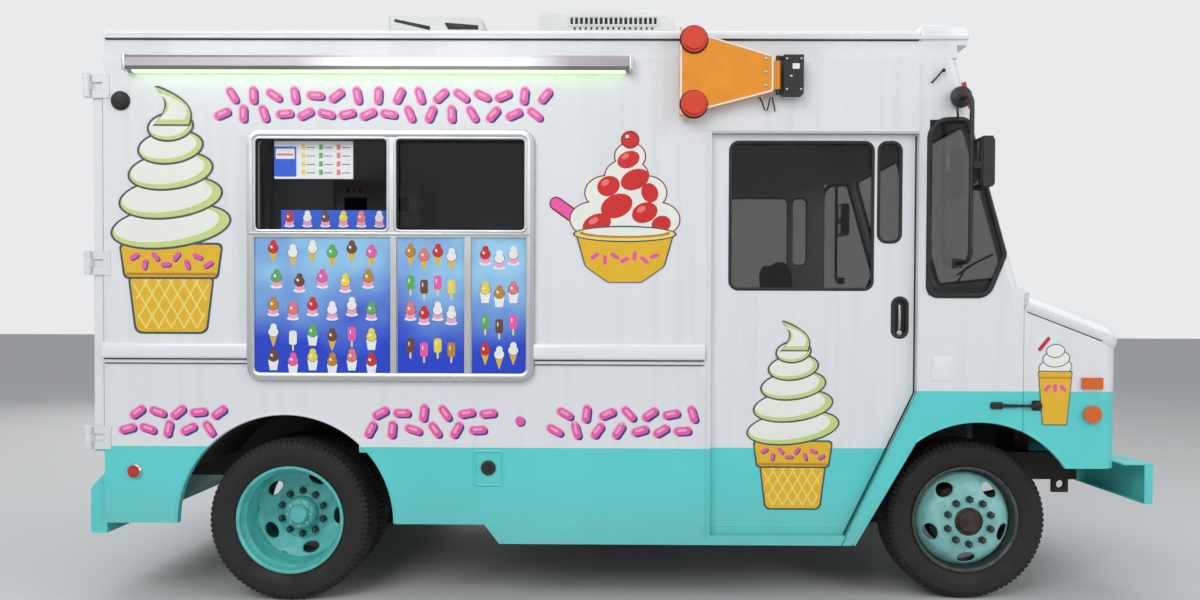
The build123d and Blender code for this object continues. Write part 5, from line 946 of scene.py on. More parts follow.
# Soft ice cream in a wafer cone: leaning rolls that shrink upwards, a hooked tip, a banded cup and a
# cross-ruled wafer
coneDrawing = {
    "rolls": [
        # middle height, half width, half height
        (0.44, 0.24, 0.082), (0.556, 0.206, 0.078), (0.664, 0.168, 0.07), (0.76, 0.128, 0.062),
        (0.842, 0.088, 0.052),
    ],
    "lean": 0.13,
    "tip": {"foot": 0.852, "rise": 0.148, "halfWidth": 0.07, "bow": 0.03, "hook": 0.06, "steps": 14},
    "cup": [(-0.205, 0.365), (0.205, 0.365), (0.185, 0.235), (-0.185, 0.235)],
    "cupShade": [(-0.186, 0.252), (0.186, 0.252), (0.184, 0.24), (-0.184, 0.24)],
    "wafer": [(-0.17, 0.245), (0.17, 0.245), (0.14, 0.012), (-0.14, 0.012)],
    "ruling": 0.052, "slope": 1.05, "line": 0.007, "edge": 0.009,
}


# Corners moved away from their middle, across and up, by the same step
def grown(points, by):
    points = np.array(points)
    return points + np.sign(points - points.mean(0)) * by


# The tip: a drop whose middle line bows to the front, then hooks back as the cube of its height
def tipOutline(grow, scale=1.0):
    tip = coneDrawing["tip"]
    t = np.linspace(0, 1, tip["steps"]) ** 0.8
    half = tip["halfWidth"] * scale * (1 - t) ** 0.7 + grow
    middle = 0.004 + tip["bow"] * np.sin(np.pi * t) - tip["hook"] * t ** 3
    v = tip["foot"] + tip["rise"] * (0.5 + (t - 0.5) * scale) + grow * (2 * t - 1)
    if grow == 0:
        half[-1] = 0.002
    return np.concatenate([np.stack([middle + half, v], -1), np.stack([middle - half, v], -1)[::-1]])


def drawCone(sheet, x, z, height):
    sheet.restart()
    sheet.begin(x, z, height)
    wafer, cup, edge, lean = (coneDrawing[key] for key in ("wafer", "cup", "edge", "lean"))
    sheet.patch("outline", grown(wafer, edge), 0.035)
    sheet.patch("wafer", wafer, 0.03)
    sheet.level += film
    for number in range(-8, 9):
        for slope in (coneDrawing["slope"], -coneDrawing["slope"]):
            direction = np.array((np.cos(slope), np.sin(slope)))
            point = np.array((number * coneDrawing["ruling"], 0.12))
            start, end = clippedLine(grown(wafer, -0.012), point, direction)
            if end - start > 0.03:
                lift = np.sign(slope) * film / 4
                sheet.level += lift
                sheet.bar("waferLine", point + direction * (start + end) / 2, end - start,
                    coneDrawing["line"], slope, 3, raised=False)
                sheet.level -= lift
    sheet.patch("outline", grown(cup, edge), 0.022)
    sheet.patch("wafer", cup, 0.018)
    sheet.patch("waferShade", coneDrawing["cupShade"], 0.004)
    for ink, shift, length, width in (("navy", 0.004, 0.046, 0.021), ("pink", 0.0, 0.044, 0.019)):
        sheet.level += film
        for number in range(8):
            middle = (-0.15 + number * 0.043 + shift, 0.302 + 0.016 * (-1) ** number - shift)
            sheet.bar(ink, middle, length, width, 0.5 + 0.9 * number, 4, raised=False)
    for level, *half in coneDrawing["rolls"]:
        middle, half = np.array((0, level)), np.array(half)
        sheet.oval("outline", middle, half + edge, 40, lean)
        sheet.oval("lime", middle, half, 40, lean)
        sheet.oval("cream", middle + half * (-0.07, 0.1), half * (0.9, 0.84), 40, lean)
    for ink, grow, scale in (("outline", edge * 0.8, 1.0), ("lime", 0, 1.0), ("cream", 0, 0.74)):
        sheet.add(ink, sheet.at(tipOutline(grow, scale)))


# Bands of candy sprinkles stand where the sides carry words: two rows of short pink bars that lie
# every way, each with a navy shadow
sprinkle = {"pitch": 0.098, "length": 0.082, "width": 0.036, "rim": 0.01, "rowRise": 0.24,
    "shadow": (0.009, -0.008)}


def drawSprinkles(sheet, spanX, spanZ):
    sheet.restart()
    height = spanZ[1] - spanZ[0]
    count = int((spanX[1] - spanX[0]) / sprinkle["pitch"])
    x = np.linspace(*spanX, count + 1)[:-1] + sprinkle["pitch"] / 4
    spots = []
    for row, rise in enumerate((-sprinkle["rowRise"], sprinkle["rowRise"])):
        shift = row * sprinkle["pitch"] / 2
        spots += [(u + shift, np.mean(spanZ) + rise * height) for u in x]
    leans = random.uniform(0, np.pi, len(spots))
    layers = [("palePink", sprinkle["rim"], (0, 0)), ("navy", 0.0, sprinkle["shadow"]),
        ("pink", 0.0, (0, 0)), ("palePink", -0.022, (-0.003, 0.004))]
    for ink, grow, shift in layers:
        for number, (spot, lean) in enumerate(zip(spots, leans)):
            outline = stadium(np.add(spot, shift), sprinkle["length"] + grow * 1.6,
                sprinkle["width"] + grow, lean)
            sheet.add(ink, outline, raised=number == 0)


# A sundae in a yellow bowl: heaped cream, red sauce, a cherry and a pink spoon
sundae = {
    # each across, up, half width, half height
    "heap": [
        (-0.2, 0.36, 0.13, 0.1), (0.2, 0.36, 0.13, 0.1), (0.0, 0.4, 0.2, 0.13),
        (-0.11, 0.52, 0.13, 0.1), (0.13, 0.52, 0.12, 0.1), (0.01, 0.62, 0.13, 0.1), (0.03, 0.74, 0.09, 0.08),
    ],
    "sauce": [
        (-0.17, 0.33, 0.09, 0.06), (-0.05, 0.44, 0.1, 0.07), (0.12, 0.4, 0.08, 0.06),
        (0.22, 0.33, 0.06, 0.05), (-0.1, 0.56, 0.07, 0.06), (0.06, 0.6, 0.09, 0.06), (0.02, 0.72, 0.07, 0.05),
        (0.15, 0.52, 0.05, 0.06),
    ],
    "rims": [
        ("outline", 0.27, 0.315, 0.05), ("waferLine", 0.27, 0.303, 0.041),
        ("waferShade", 0.275, 0.275, 0.03), ("cream", 0.285, 0.255, 0.026),
    ],
    "bowl": [(-0.29, 0.27), (0.29, 0.27), (0.235, 0.075), (0.1, -0.02), (-0.1, -0.02), (-0.235, 0.075)],
    "bowlRadii": (0.012, 0.012, 0.06, 0.03, 0.03, 0.06),
}


def drawSundae(sheet, x, z, size):
    sheet.restart()
    sheet.begin(x, z, size)
    edge = 0.006 / size
    sheet.bar("darkRed", (-0.37, 0.42), 0.2, 0.085, -0.62)
    sheet.bar("pink", (-0.37, 0.42), 0.185, 0.065, -0.62)
    for ink, grow in (("darkRed", edge), ("cream", 0.0)):
        for u, v, halfWidth, halfHeight in sundae["heap"]:
            sheet.oval(ink, (u, v), (halfWidth + grow, halfHeight + grow), 30)
    for u, v, halfWidth, halfHeight in sundae["sauce"]:
        sheet.oval("red", (u, v), (halfWidth, halfHeight), 30, 0.4)
    for u, v, halfWidth, halfHeight in sundae["sauce"][::2]:
        sheet.oval("rose", (u - 0.02, v + 0.02), (halfWidth * 0.35, halfHeight * 0.3), 30, 0.5)
    sheet.oval("darkRed", (0.03, 0.84), (0.056, 0.054), 30)
    sheet.oval("red", (0.03, 0.84), (0.048, 0.046), 30)
    sheet.oval("cream", (0.012, 0.86), (0.012, 0.01), 12)
    sheet.patch("outline", np.mean(sundae["bowl"], axis=0) * -0.035 + np.array(sundae["bowl"]) * 1.035,
        sundae["bowlRadii"], 8)
    sheet.patch("wafer", sundae["bowl"], sundae["bowlRadii"], 8)
    for ink, v, halfWidth, halfHeight in sundae["rims"]:
        sheet.oval(ink, (0, v), (halfWidth, halfHeight), 40)
    for number in range(7):
        middle = (-0.18 + 0.06 * number, 0.125 + 0.012 * (-1) ** number)
        sheet.bar("pink", middle, 0.062, 0.024, 0.6 + number, 4, raised=number == 0)


# A shake: a tapered yellow cup with a domed top and a leaning straw
def drawShake(sheet, x, z, size):
    sheet.begin(x, z, size)
    sheet.bar("darkRed", (-0.13, 0.93), 0.2, 0.042, 0.9)
    sheet.bar("red", (-0.13, 0.93), 0.19, 0.03, 0.9)
    for u, v, halfWidth, halfHeight in ((0.0, 0.66, 0.185, 0.1), (0.01, 0.76, 0.15, 0.09),
            (0.0, 0.85, 0.1, 0.07)):
        sheet.oval("outline", (u, v), (halfWidth + 0.01, halfHeight + 0.01), 28, 0.1)
        sheet.oval("cream", (u, v), (halfWidth, halfHeight), 28, 0.1)
    sheet.patch("outline", [(-0.2, 0.62), (0.2, 0.62), (0.145, -0.01), (-0.145, -0.01)], 0.02)
    sheet.patch("wafer", [(-0.19, 0.61), (0.19, 0.61), (0.135, 0.0), (-0.135, 0.0)], 0.02)
    sheet.patch("waferShade", [(-0.185, 0.55), (0.185, 0.55), (0.18, 0.53), (-0.18, 0.53)], 0.003)
    for number in range(3):
        sheet.bar("pink", (-0.09 + 0.09 * number, 0.42), 0.1, 0.045, 0.7 + 0.8 * number, 4,
            raised=number == 0)


decals = {"cone": (-2.19, 1.319, 1.2), "doorCone": (0.85, 0.466, 0.926), "sundae": (0.02, 1.6, 0.8),
    "shake": (2.113, 0.9, 0.42)}
bands = [((-1.96, -0.34), (2.345, 2.53)), ((-2.43, -1.93), (0.815, 0.985)),
    ((-1.24, -0.61), (0.815, 0.985)), ((-0.34, 0.385), (0.815, 0.985))]
for hand, side in sides.items():
    wall = Print(onSide(side, sideY))
    drawCone(wall, *decals["cone"])
    drawSundae(wall, *decals["sundae"])
    for spanX, spanZ in bands:
        drawSprinkles(wall, spanX, spanZ)
    wall.add("navy", ellipse((-0.482, 0.9), (0.024, 0.024), 20))
    wall.add("pink", ellipse((-0.487, 0.905), (0.023, 0.023), 20))
    wall.make(f"wallPrint.{hand}", "chassis", "body_paint")
    door = Print(onSide(side, doorY))
    drawCone(door, *decals["doorCone"])
    door.make(f"doorPrint.{hand}", f"{hand}_door", "body_paint")
    nose = Print(onSide(side, hoodY))
    drawShake(nose, *decals["shake"])
    nose.make(f"nosePrint.{hand}", "hood", "body_paint")
print("side prints done")

# Menu boards: a blue sheet with rows of small generic cones, cups and bars
menuFinish, tree, shader, coords = newFinish("printed menu sheet", "2F6FE4", Roughness=0.22,
    Coat_Weight=0.6, Coat_Roughness=0.05)
height = addNode(tree, "SeparateXYZ", {"Vector": coords}).outputs["Z"]
# painted light: the sheet is painted paler towards its top, in soft patches
rise = addNode(tree, "MapRange", {"Value": height, "From Min": 1.12, "From Max": 1.62})
clouds = addNode(tree, "TexNoise", {"Vector": coords, "Scale": 3.2, "Detail": 2.0})
paintedLight = addNode(tree, "Math", {0: rise, 1: clouds}, operation="MULTIPLY")
spread = addNode(tree, "MapRange", {"Value": paintedLight, "From Min": 0.12, "From Max": 0.62})
tone = addNode(tree, "Mix", {0: spread, 6: "1440D2", 7: "9CD8F8"}, data_type="RGBA").outputs[2]
feed(tree, shader, {"Base Color": tone})

menu = {"level": 1.138, "rows": [
    # board number, height of the row's middle, how many, kinds in turn
    (0, 1.715, 6, "cone"), (0, 1.575, 5, "sundae"), (0, 1.44, 6, "sundae"), (0, 1.31, 6, "mixed"),
    (0, 1.19, 6, "cup"), (1, 1.7, 4, "cone"), (1, 1.56, 4, "bar"), (1, 1.42, 4, "sundae"),
    (1, 1.255, 4, "bar"), (2, 1.69, 3, "sundae"), (2, 1.52, 3, "cup"), (2, 1.37, 3, "bar"),
    (2, 1.225, 3, "cone"),
]}
flavours = ["red", "cream", "brown", "lemon", "rose", "white", "leaf", "pink", "waferShade"]


# One treat of a kind, its middle at (x, z)
def drawTreat(sheet, kind, x, z, size, ink):
    sheet.begin(x, z, size)
    if kind == "cone":
        sheet.patch("wafer", [(-0.2, 0), (0.2, 0), (0, -0.62)], 0.02)
    elif kind == "cup":
        sheet.patch("white", [(-0.26, 0), (0.26, 0), (0.18, -0.52), (-0.18, -0.52)], 0.03)
    elif kind == "bar":
        sheet.bar("waferLine", (0, -0.42), 0.34, 0.09, np.pi / 2, 4)
        sheet.patch(ink, [(-0.19, -0.28), (0.19, -0.28), (0.19, 0.42), (-0.19, 0.42)], 0.12, 5)
        sheet.oval("white", (-0.07, 0.16), (0.03, 0.12), 10)
        return
    else:
        sheet.oval("white", (0, -0.3), (0.3, 0.1), 16)
        sheet.oval("palePink", (0, -0.12), (0.24, 0.2), 16)
    sheet.oval("outline", (0, 0.15), (0.27, 0.26), 18)
    sheet.oval(ink, (0, 0.15), (0.245, 0.235), 18)
    sheet.oval(ink, (0.01, 0.4), (0.16, 0.17), 16)
    sheet.oval("white", (-0.08, 0.22), (0.06, 0.08), 10, 0.4)


boards = Print(onSide(-1, menu["level"]))
backs = [plate((start + 0.004, end - 0.004), (1.119, 1.792), 0.006, boards.place, -0.002, 0.0006)
    for start, end in serving["boards"]]
piece("menuSheets", backs, menuFinish)
number = 0
for board, height, count, kind in menu["rows"]:
    for n, u in enumerate(np.linspace(*serving["boards"][board], count + 2)[1:-1]):
        boards.restart()
        chosen = ("cone", "bar", "cup")[n % 3] if kind == "mixed" else kind
        ink = flavours[(number * 4 + n) % len(flavours)]
        drawTreat(boards, chosen, u, height + 0.01 * (-1) ** n, 0.098, ink)
        number += 1
boards.make("menuPrint", "chassis", "menu_blue")

# Cards inside the open pane and a printed strip along its sill
cards = Print(onSide(-1, 1.094))
cards.add("white", rectangle((-1.577, -1.308), (2.083, 2.268), 0.004))
for row in range(4):
    z = 2.102 + row * 0.041
    for column, ink in enumerate(("lemon", "leaf", "rose")):
        x = -1.56 + column * 0.086
        cards.add(ink, rectangle((x, x + 0.018), (z, z + 0.026), 0.002), raised=row + column == 0)
        cards.add("outline", rectangle((x + 0.024, x + 0.066), (z + 0.008, z + 0.012), 0.001), raised=False)
strip = rectangle((-1.66, -1.14), (1.826, 1.93), 0.004)
notice = rectangle((-1.694, -1.586), (2.094, 2.24), 0.004)
panel = rectangle((-1.686, -1.594), (2.18, 2.23), 0.003)
line = rectangle((-1.68, -1.6), (2.196, 2.206), 0.002)
for ink, outline in (("blue", notice), ("white", panel), ("rose", line), ("blue", strip)):
    cards.add(ink, outline)
ground = cards.level
for n in range(6):
    cards.level = ground
    drawTreat(cards, "sundae", -1.62 + 0.088 * n, 1.88, 0.085, flavours[n])
cards.make("cards", "chassis", "menu_blue")
backing = [slab(outline, onSide(-1, 1.091), 0.0, 0.0028)
    for outline in (strip, rectangle((-1.694, -1.308), (2.083, 2.268), 0.004))]
piece("cardBacks", backing, inks["white"])
print("menu boards done:", number, "treats")

# Fittings on the outside

glossWhite = weathered("gloss enamel, mouldings", "F2F4F5", "E2E5E6", 0.3, 0.4, 0.004, 0.03, Roughness=0.16,
    Coat_Weight=0.7, Coat_Roughness=0.04)
mirrorFinish = newFinish("silvered mirror", "DDE3E6", Roughness=0.03, Metallic=1.0)[0]
boltFinish = weathered("zinc-plated steel", "B4B6B8", "8C8D8E", 0.02, 0.6, 0.0015, 0.1, Roughness=0.35,
    Metallic=1.0)


# A bar of squarish round section along a side: (|v| / half height)^4 + (w / depth)^4 = 1, its ends
# drawn in by the same curve
def sideRail(x, z, side, halfHeight, depth, capLength, rows=7, steps=17):
    t = np.linspace(0, np.pi, steps)
    v = halfHeight * np.sign(np.cos(t)) * np.abs(np.cos(t)) ** 0.5
    w = depth * np.sin(t) ** 0.5
    s = np.linspace(0, 1, rows)
    shrink = np.clip(1 - (1 - s) ** 4, 0.004, 1) ** 0.25
    along = np.concatenate([x[0] + s * capLength, (x[1] - s * capLength)[::-1]])
    scale = np.concatenate([shrink, shrink[::-1]])[:, None]
    u = np.broadcast_to(along[:, None], (len(along), steps))
    return gridShape(onSide(side, sideY - 0.001)(u, z + scale * v, scale * w), closeColumns=True, caps=True)


# Rub rails: gloss white bars with the dark shadow of a gap under each
rails = {"spans": [(-2.526, -1.806), (-0.425, 0.413)], "z": 1.2435, "halfHeight": 0.0395, "depth": 0.0295}
for hand, side in sides.items():
    bars = [sideRail(span, rails["z"], side, rails["halfHeight"], rails["depth"], 0.014)
        for span in rails["spans"]]
    piece(f"rubRails.{hand}", bars, glossWhite, sharp=60)
    gaps = [plate((span[0] + 0.01, span[1] - 0.006), (1.199, 1.2045), 0.002, onSide(side, sideY), 0.0,
        0.012) for span in rails["spans"]]
    gaps += [plate((span[0] + 0.012, span[1] - 0.008), (1.178, 1.1815), 0.0015, onSide(side, sideY), 0.0,
        0.0064) for span in rails["spans"]]
    piece(f"railShadows.{hand}", gaps, gasketAndShadeFinish)

# Nose: a thick rounded moulding runs up over each shoulder and across the front of the hood
nose = {"y": 1.075, "rear": (1.97, 1.489), "front": (2.35, 1.343), "across": (2.388, 1.302),
    "radius": 0.055}
bend = np.linspace(0, np.pi / 2, 8)
turnX = nose["front"][0] + (nose["across"][0] - nose["front"][0]) * np.sin(bend)
turnZ = nose["front"][1] + (nose["across"][1] - nose["front"][1]) * np.sin(bend)
turnY = nose["y"] - 0.05 * (1 - np.cos(bend))
half = np.concatenate([[(nose["rear"][0], nose["y"], nose["rear"][1])],
    np.stack([turnX, turnY, turnZ], -1)])
path = np.concatenate([half * (1, -1, 1), half[::-1]])
piece("noseMoulding", tube(path, nose["radius"], 28), glossWhite, "hood", sharp=60)
for hand, side in sides.items():
    line = sideBar([(1.974, 1.4475), (2.352, 1.3015)], side, 1.1125, 0.0035, 6)
    piece(f"mouldingSeam.{hand}", line, gasketAndShadeFinish, "hood")

# Roof: a rounded cap over the windscreen, its ends turned in, and a bright bead along each edge
cap = {"outline": [(1.452, 2.735), (1.684, 2.735), (1.684, 2.826), (1.452, 2.836)],
    "radii": (0.01, 0.042, 0.042, 0.01), "half": 1.104}
for hand, side in sides.items():
    body = slab(rounded(cap["outline"], cap["radii"], 10), onSide(side, 0.0), 0.0, cap["half"], 0.009)
    piece(f"roofCap.{hand}", body, glossWhite)
    edgeBead = sideBar([(-2.51, 2.792), (1.45, 2.792)], side, 1.086, 0.014, 12)
    piece(f"roofBead.{hand}", edgeBead, glossWhite)

# Sign: a pale trim round the blank amber plate, its bolts, and a bezel round each lamp
sign = {"face": 1.181, "mount": 1.196, "bolts": [(0.69, 2.648), (0.69, 2.584), (0.69, 2.52)],
    "lamps": [(0.345, 2.43), (0.345, 2.738)]}
trimLine = bead(rounded([(0.284, 2.382), (0.72, 2.496), (0.72, 2.66), (0.284, 2.79)], 0.01),
    onSide(-1, sign["face"]), beadSection(0.009, 0.003))
piece("signTrim", trimLine, glossWhite, "sign_arm")
origins = [(x, -sign["face"], z) for x, z in sign["bolts"]]
piece("signBolts", repeated(dome(0.009, 0.005, 12), origins, sideAxes(-1)), boltFinish,
    "sign_arm")
rings = [bead(ellipse(spot, (0.0635, 0.0635), 40), onSide(-1, sign["face"]), beadSection(0.01, 0.006))
    for spot in sign["lamps"]]
piece("signBezels", rings, gasketAndShadeFinish, "sign_arm")
labels = [plate((0.812, 0.846), (2.596, 2.622), 0.003, onSide(-1, sign["mount"]), -0.001, 0.002),
    plate((0.8, 0.812), (2.56, 2.566), 0.001, onSide(-1, sign["mount"]), -0.001, 0.002)]
piece("signLabel", labels, glossWhite)
origins = [(x, -sign["mount"], z) for x in (0.786, 0.854) for z in (2.5, 2.645)]
piece("signScrews", repeated(dome(0.006, 0.003), origins, sideAxes(-1)), boltFinish)
hook = tube([(0.668, -1.118, 2.478), (0.676, -1.14, 2.455), (0.69, -1.142, 2.412), (0.702, -1.142, 2.41),
    (0.716, -1.142, 2.47), (0.726, -1.142, 2.474), (0.738, -1.14, 2.42), (0.742, -1.118, 2.412)], 0.0035, 8)
piece("signHook", hook, gasketAndShadeFinish)

# Mirrors: silvered glass behind a rubber edge, a round spot mirror and a small aerial hook
mirror = {"x": 1.655, "y": 1.285, "half": 0.066, "z": (2.032, 2.238)}
for hand, side in sides.items():
    u = (side * mirror["y"] - mirror["half"], side * mirror["y"] + mirror["half"])
    glass = plate(u, mirror["z"], 0.016, onRear(mirror["x"]), -0.001, 0.0025, 0.001)
    piece(f"mirrorGlass.{hand}", glass, mirrorFinish)
    edge = bead(rectangle(u, mirror["z"], 0.016), onRear(mirror["x"]), beadSection(0.01, 0.005))
    shell = plate((u[0] - 0.01, u[1] + 0.01), (2.022, 2.248), 0.02, onFront(1.695), 0.0, 0.018, 0.014)
    piece(f"mirrorEdge.{hand}", [edge, shell], gasketAndShadeFinish)
    spot = lathe([(0, 0), (0, 0.026), (0.012, 0.03), (0.022, 0.047), (0.034, 0.052), (0.046, 0.05),
        (0.054, 0.038), (0.058, 0.02), (0.059, 0)], (1.628, side * 1.118, 2.474), (0, side, 0), 36)
    arm = tube([(1.612, side * 1.15, 2.44), (1.61, side * 1.158, 2.4), (1.616, side * 1.15, 2.385),
        (1.62, side * 1.119, 2.38)], 0.005, 8)
    aerial = tube([(1.497, side * 1.119, 2.552), (1.5, side * 1.134, 2.553), (1.512, side * 1.138, 2.566),
        (1.54, side * 1.14, 2.6), (1.548, side * 1.14, 2.604)], 0.0045, 8)
    ball = lathe([(-0.01, 0), (-0.008, 0.006), (0, 0.01), (0.008, 0.006), (0.01, 0)],
        (1.549, side * 1.14, 2.605), (0, side, 0), 14)
    piece(f"spotMirror.{hand}", [spot, arm, aerial, ball], blackFinish)

# Side door: a black oval cup with its lever in the door's pull, and a strip down the front edge
pull = {"u": (1.334, 1.402), "v": (1.322, 1.51), "radius": 0.033}
for hand, side in sides.items():
    place = onSide(side, doorY)
    outline = rectangle(pull["u"], pull["v"], pull["radius"], 9)
    cup = bead(outline, place, [(-0.0005, -0.0165), (0.0012, -0.0165), (0.0012, -0.002), (0.01, 0.0012),
        (0.007, 0.0034), (0.0, 0.0037), (-0.005, 0.002), (-0.004, -0.004)])
    back = slab(outline, place, -0.0178, -0.015)
    piece(f"doorPull.{hand}", [cup, back], blackFinish, f"{hand}_door")
    lever = tube([(1.368, side * 1.0625, 1.352), (1.368, side * 1.0695, 1.362), (1.368, side * 1.0722, 1.4),
        (1.368, side * 1.0722, 1.445), (1.368, side * 1.0695, 1.474), (1.368, side * 1.0625, 1.48)], 0.008,
        12)
    barrel = lathe([(0, 0), (0, 0.013), (0.012, 0.013), (0.014, 0.01), (0.014, 0)],
        (1.368, side * 1.062, 1.34), (0, side, 0), 20)
    piece(f"doorLever.{hand}", [lever, barrel], boltFinish, f"{hand}_door")
    strip = sideBar([(1.4395, 2.3), (1.4395, 1.048), (1.0971, 0.34)], side, 1.074, 0.0055, 8)
    foot = sideBar([(0.436, 0.388), (1.116, 0.388)], side, 1.0752, 0.004, 8)
    # a black line along the door's top is painted shadow under the header panel's ledge
    shade = sideBar([(0.434, 2.312), (1.436, 2.312)], side, 1.0745, 0.005, 8)
    piece(f"doorStrip.{hand}", [strip, shade], gasketAndShadeFinish, f"{hand}_door")
    piece(f"doorFootLine.{hand}", foot, bodyFinish, f"{hand}_door")

# Hood latch: a ribbed rubber strap on the cab whose knob drops in a catch on the hood
latch = {"z": 0.991, "anchor": 1.815, "knob": 2.026}
for hand, side in sides.items():
    place = onSide(side, sideY)
    anchor = plate((latch["anchor"] - 0.018, latch["anchor"] + 0.042), (0.974, 1.008), 0.01, place, -0.001,
        0.012, 0.004)
    strap = tube([(x, side * y, latch["z"]) for x, y in ((1.842, 1.128), (1.88, 1.13), (1.93, 1.132),
        (1.98, 1.132), (2.03, 1.13))], [0.009, 0.0075, 0.0065, 0.0075, 0.01], 12)
    knob = lathe([(0, 0), (0, 0.017), (0.006, 0.021), (0.014, 0.021), (0.02, 0.015), (0.022, 0)],
        (latch["knob"], side * 1.114, latch["z"]), (0, side, 0), 24)
    ribs = [tube([(x, side * 1.131, latch["z"] - 0.01), (x, side * 1.1345, latch["z"]),
        (x, side * 1.131, latch["z"] + 0.01)], 0.0025, 6) for x in (1.868, 1.884, 1.9, 1.916)]
    piece(f"latchStrap.{hand}", [anchor, strap, knob, *ribs], gasketAndShadeFinish)
    catch = plate((2.0, 2.056), (0.966, 1.016), 0.012, onSide(side, hoodY), -0.001, 0.0016)
    piece(f"latchCatch.{hand}", catch, blackFinish, "hood")

# Cab flap, filler recess and repair patches on the walls
for hand, side in sides.items():
    place = onSide(side, sideY)
    flap = plate((1.512, 1.606), (1.11, 1.226), 0.012, place, -0.001, 0.0035, 0.002)
    piece(f"cabFlap.{hand}", flap, glossWhite)
    frameBead = bead(rectangle((-0.708, -0.57), (0.592, 0.756), 0.014), place, beadSection(0.014, 0.006))
    plates = [plate((-1.272, -1.203), (0.747, 0.808), 0.004, place, -0.001, 0.0016, 0.0008),
        plate((-0.7, -0.578), (0.6, 0.748), 0.008, place, -0.001, 0.0012)]
    piece(f"wallPatches.{hand}", [frameBead, *plates], bodyFinish)
    filler = lathe([(0, 0), (0, 0.036), (0.01, 0.036), (0.014, 0.031), (0.014, 0.012), (0.022, 0.01),
        (0.022, 0)], (-0.64, side * sideY, 0.676), (0, side, 0), 32)
    piece(f"fillerCap.{hand}", filler, blackFinish)

# Wipers lie on the screens, parked low: an arm from a spindle and a blade along the glass
for hand, side in sides.items():
    spindle, elbow, tip = (side * 0.2, 0.018), (side * 0.46, 0.13), (side * 0.62, 0.15)
    arm = onScreen(np.array([spindle[0], spindle[0], elbow[0], tip[0]]),
        np.array([spindle[1], spindle[1] + 0.01, elbow[1], tip[1]]), np.array([0.0, 0.03, 0.024, 0.018]))
    blade = onScreen(np.array([side * 0.34, side * 0.62, side * 0.88]), np.array([0.098, 0.15, 0.182]),
        np.array([0.01, 0.012, 0.01]))
    piece(f"wiper.{hand}", [tube(arm, 0.006, 8), tube(blade, 0.006, 8)], gasketAndShadeFinish)
print("outside fittings done")

# Front and rear fittings

# Headlamps: a chrome bowl and bulb inside the glass, a chrome ring round it and flutes on its face
lamp = {"y": 0.76, "z": 1.06, "face": 2.4645, "ring": 0.098, "flutes": 11, "fluteWidth": 0.0125}
for hand, side in sides.items():
    centre = (2.44, side * lamp["y"], lamp["z"])
    t = np.linspace(0, 1, 10)
    bowl = [(-0.03 + 0.05 * v ** 2, 0.012 + 0.07 * v) for v in t]
    bowl += [(z - 0.002, r) for z, r in bowl[::-1]]
    bulb = lathe([(-0.03, 0), (-0.03, 0.01), (-0.012, 0.012), (-0.004, 0.009), (0.0, 0)], centre, (1, 0, 0),
        20)
    ring = bead(ellipse((side * lamp["y"], lamp["z"]), (lamp["ring"],) * 2, 56), onFront(2.44),
        [(-0.01, 0.0), (-0.01, 0.026), (-0.006, 0.03), (0.0, 0.029), (0.007, 0.02), (0.012, 0.006),
        (0.012, -0.001)])
    piece(f"lampChrome.{hand}", [lathe(bowl, centre, (1, 0, 0), 48, closed=True), bulb, ring], chromeFinish,
        "hood")
    flutes = []
    for u in (np.arange(lamp["flutes"]) - (lamp["flutes"] - 1) / 2) * lamp["fluteWidth"]:
        reach = np.sqrt(max(0.0, 0.078 ** 2 - u ** 2))
        flutes.append(tube([(lamp["face"] - 0.0036, side * lamp["y"] + u, lamp["z"] + v)
            for v in (-reach, reach)], 0.0058, 8))
    piece(f"lampFlutes.{hand}", flutes, lampGlassFinish, "hood")
grilleBack = plate((-0.46, 0.46), (0.87, 1.22), 0.03, onFront(2.404), 0.0, 0.004)
grilleRim = bead(rectangle((-0.47, 0.47), (0.86, 1.23), 0.04), onFront(2.44), beadSection(0.018, 0.009))
piece("grilleBack", grilleBack, gasketAndShadeFinish, "hood")
piece("grilleRim", grilleRim, chromeFinish, "hood")
# Black strips on the cowl: painted shade for its vent slits
cowl = [plate((u - 0.055, u + 0.055), (0.02, 0.026), 0.0025, onScreen, -0.002, 0.003)
    for u in (-0.72, -0.54, 0.54, 0.72)]
piece("cowlSlits", cowl, gasketAndShadeFinish)
bolts = [(2.6, y, z) for y in (-0.92, -0.5, 0.5, 0.92) for z in (0.575, 0.645)]
piece("bumperBolts", repeated(nut(0.024, 0.01, 0.006, 0.014), bolts, frontAxes), boltFinish)

# Rear: tread plate lugs on the bumper, ringed lamps, a blank number plate, levers and the doors' seal
lug = {"length": 0.024, "width": 0.0075, "height": 0.0014, "pitch": 0.03}
long, wide, high, sunk = lug["length"] / 2, lug["width"] / 2, lug["height"], -0.0005
lugPoints = [(-long, 0, sunk), (0, -wide, sunk), (long, 0, sunk), (0, wide, sunk), (-long / 2, 0, high),
    (long / 2, 0, high)]
lugShape = np.array(lugPoints), [[3, 2, 1, 0], [0, 1, 4], [1, 5, 4], [1, 2, 5], [2, 3, 5], [3, 4, 5],
    [3, 0, 4]]


# Lugs that lie crosswise in turn over a flat patch, given by a corner and its two edges
def lugs(corner, edgeU, edgeV):
    corner, edgeU, edgeV = (np.array(value, float) for value in (corner, edgeU, edgeV))
    lengthU, lengthV = np.linalg.norm(edgeU), np.linalg.norm(edgeV)
    u, v = edgeU / lengthU, edgeV / lengthV
    normal = np.cross(u, v)
    columns, rows = int(lengthU / lug["pitch"]), int(lengthV / lug["pitch"])
    shapes = []
    for turn in (1, -1):
        first, second = (u + turn * v) / np.sqrt(2), (v - turn * u) / np.sqrt(2)
        spots = [corner + u * (c + 0.5) * lengthU / columns + v * (r + 0.5) * lengthV / rows
            for c in range(columns) for r in range(rows) if (c + r) % 2 == (turn > 0)]
        shapes.append(repeated(lugShape, spots, [(first, second, normal)]))
    return joined(*shapes)


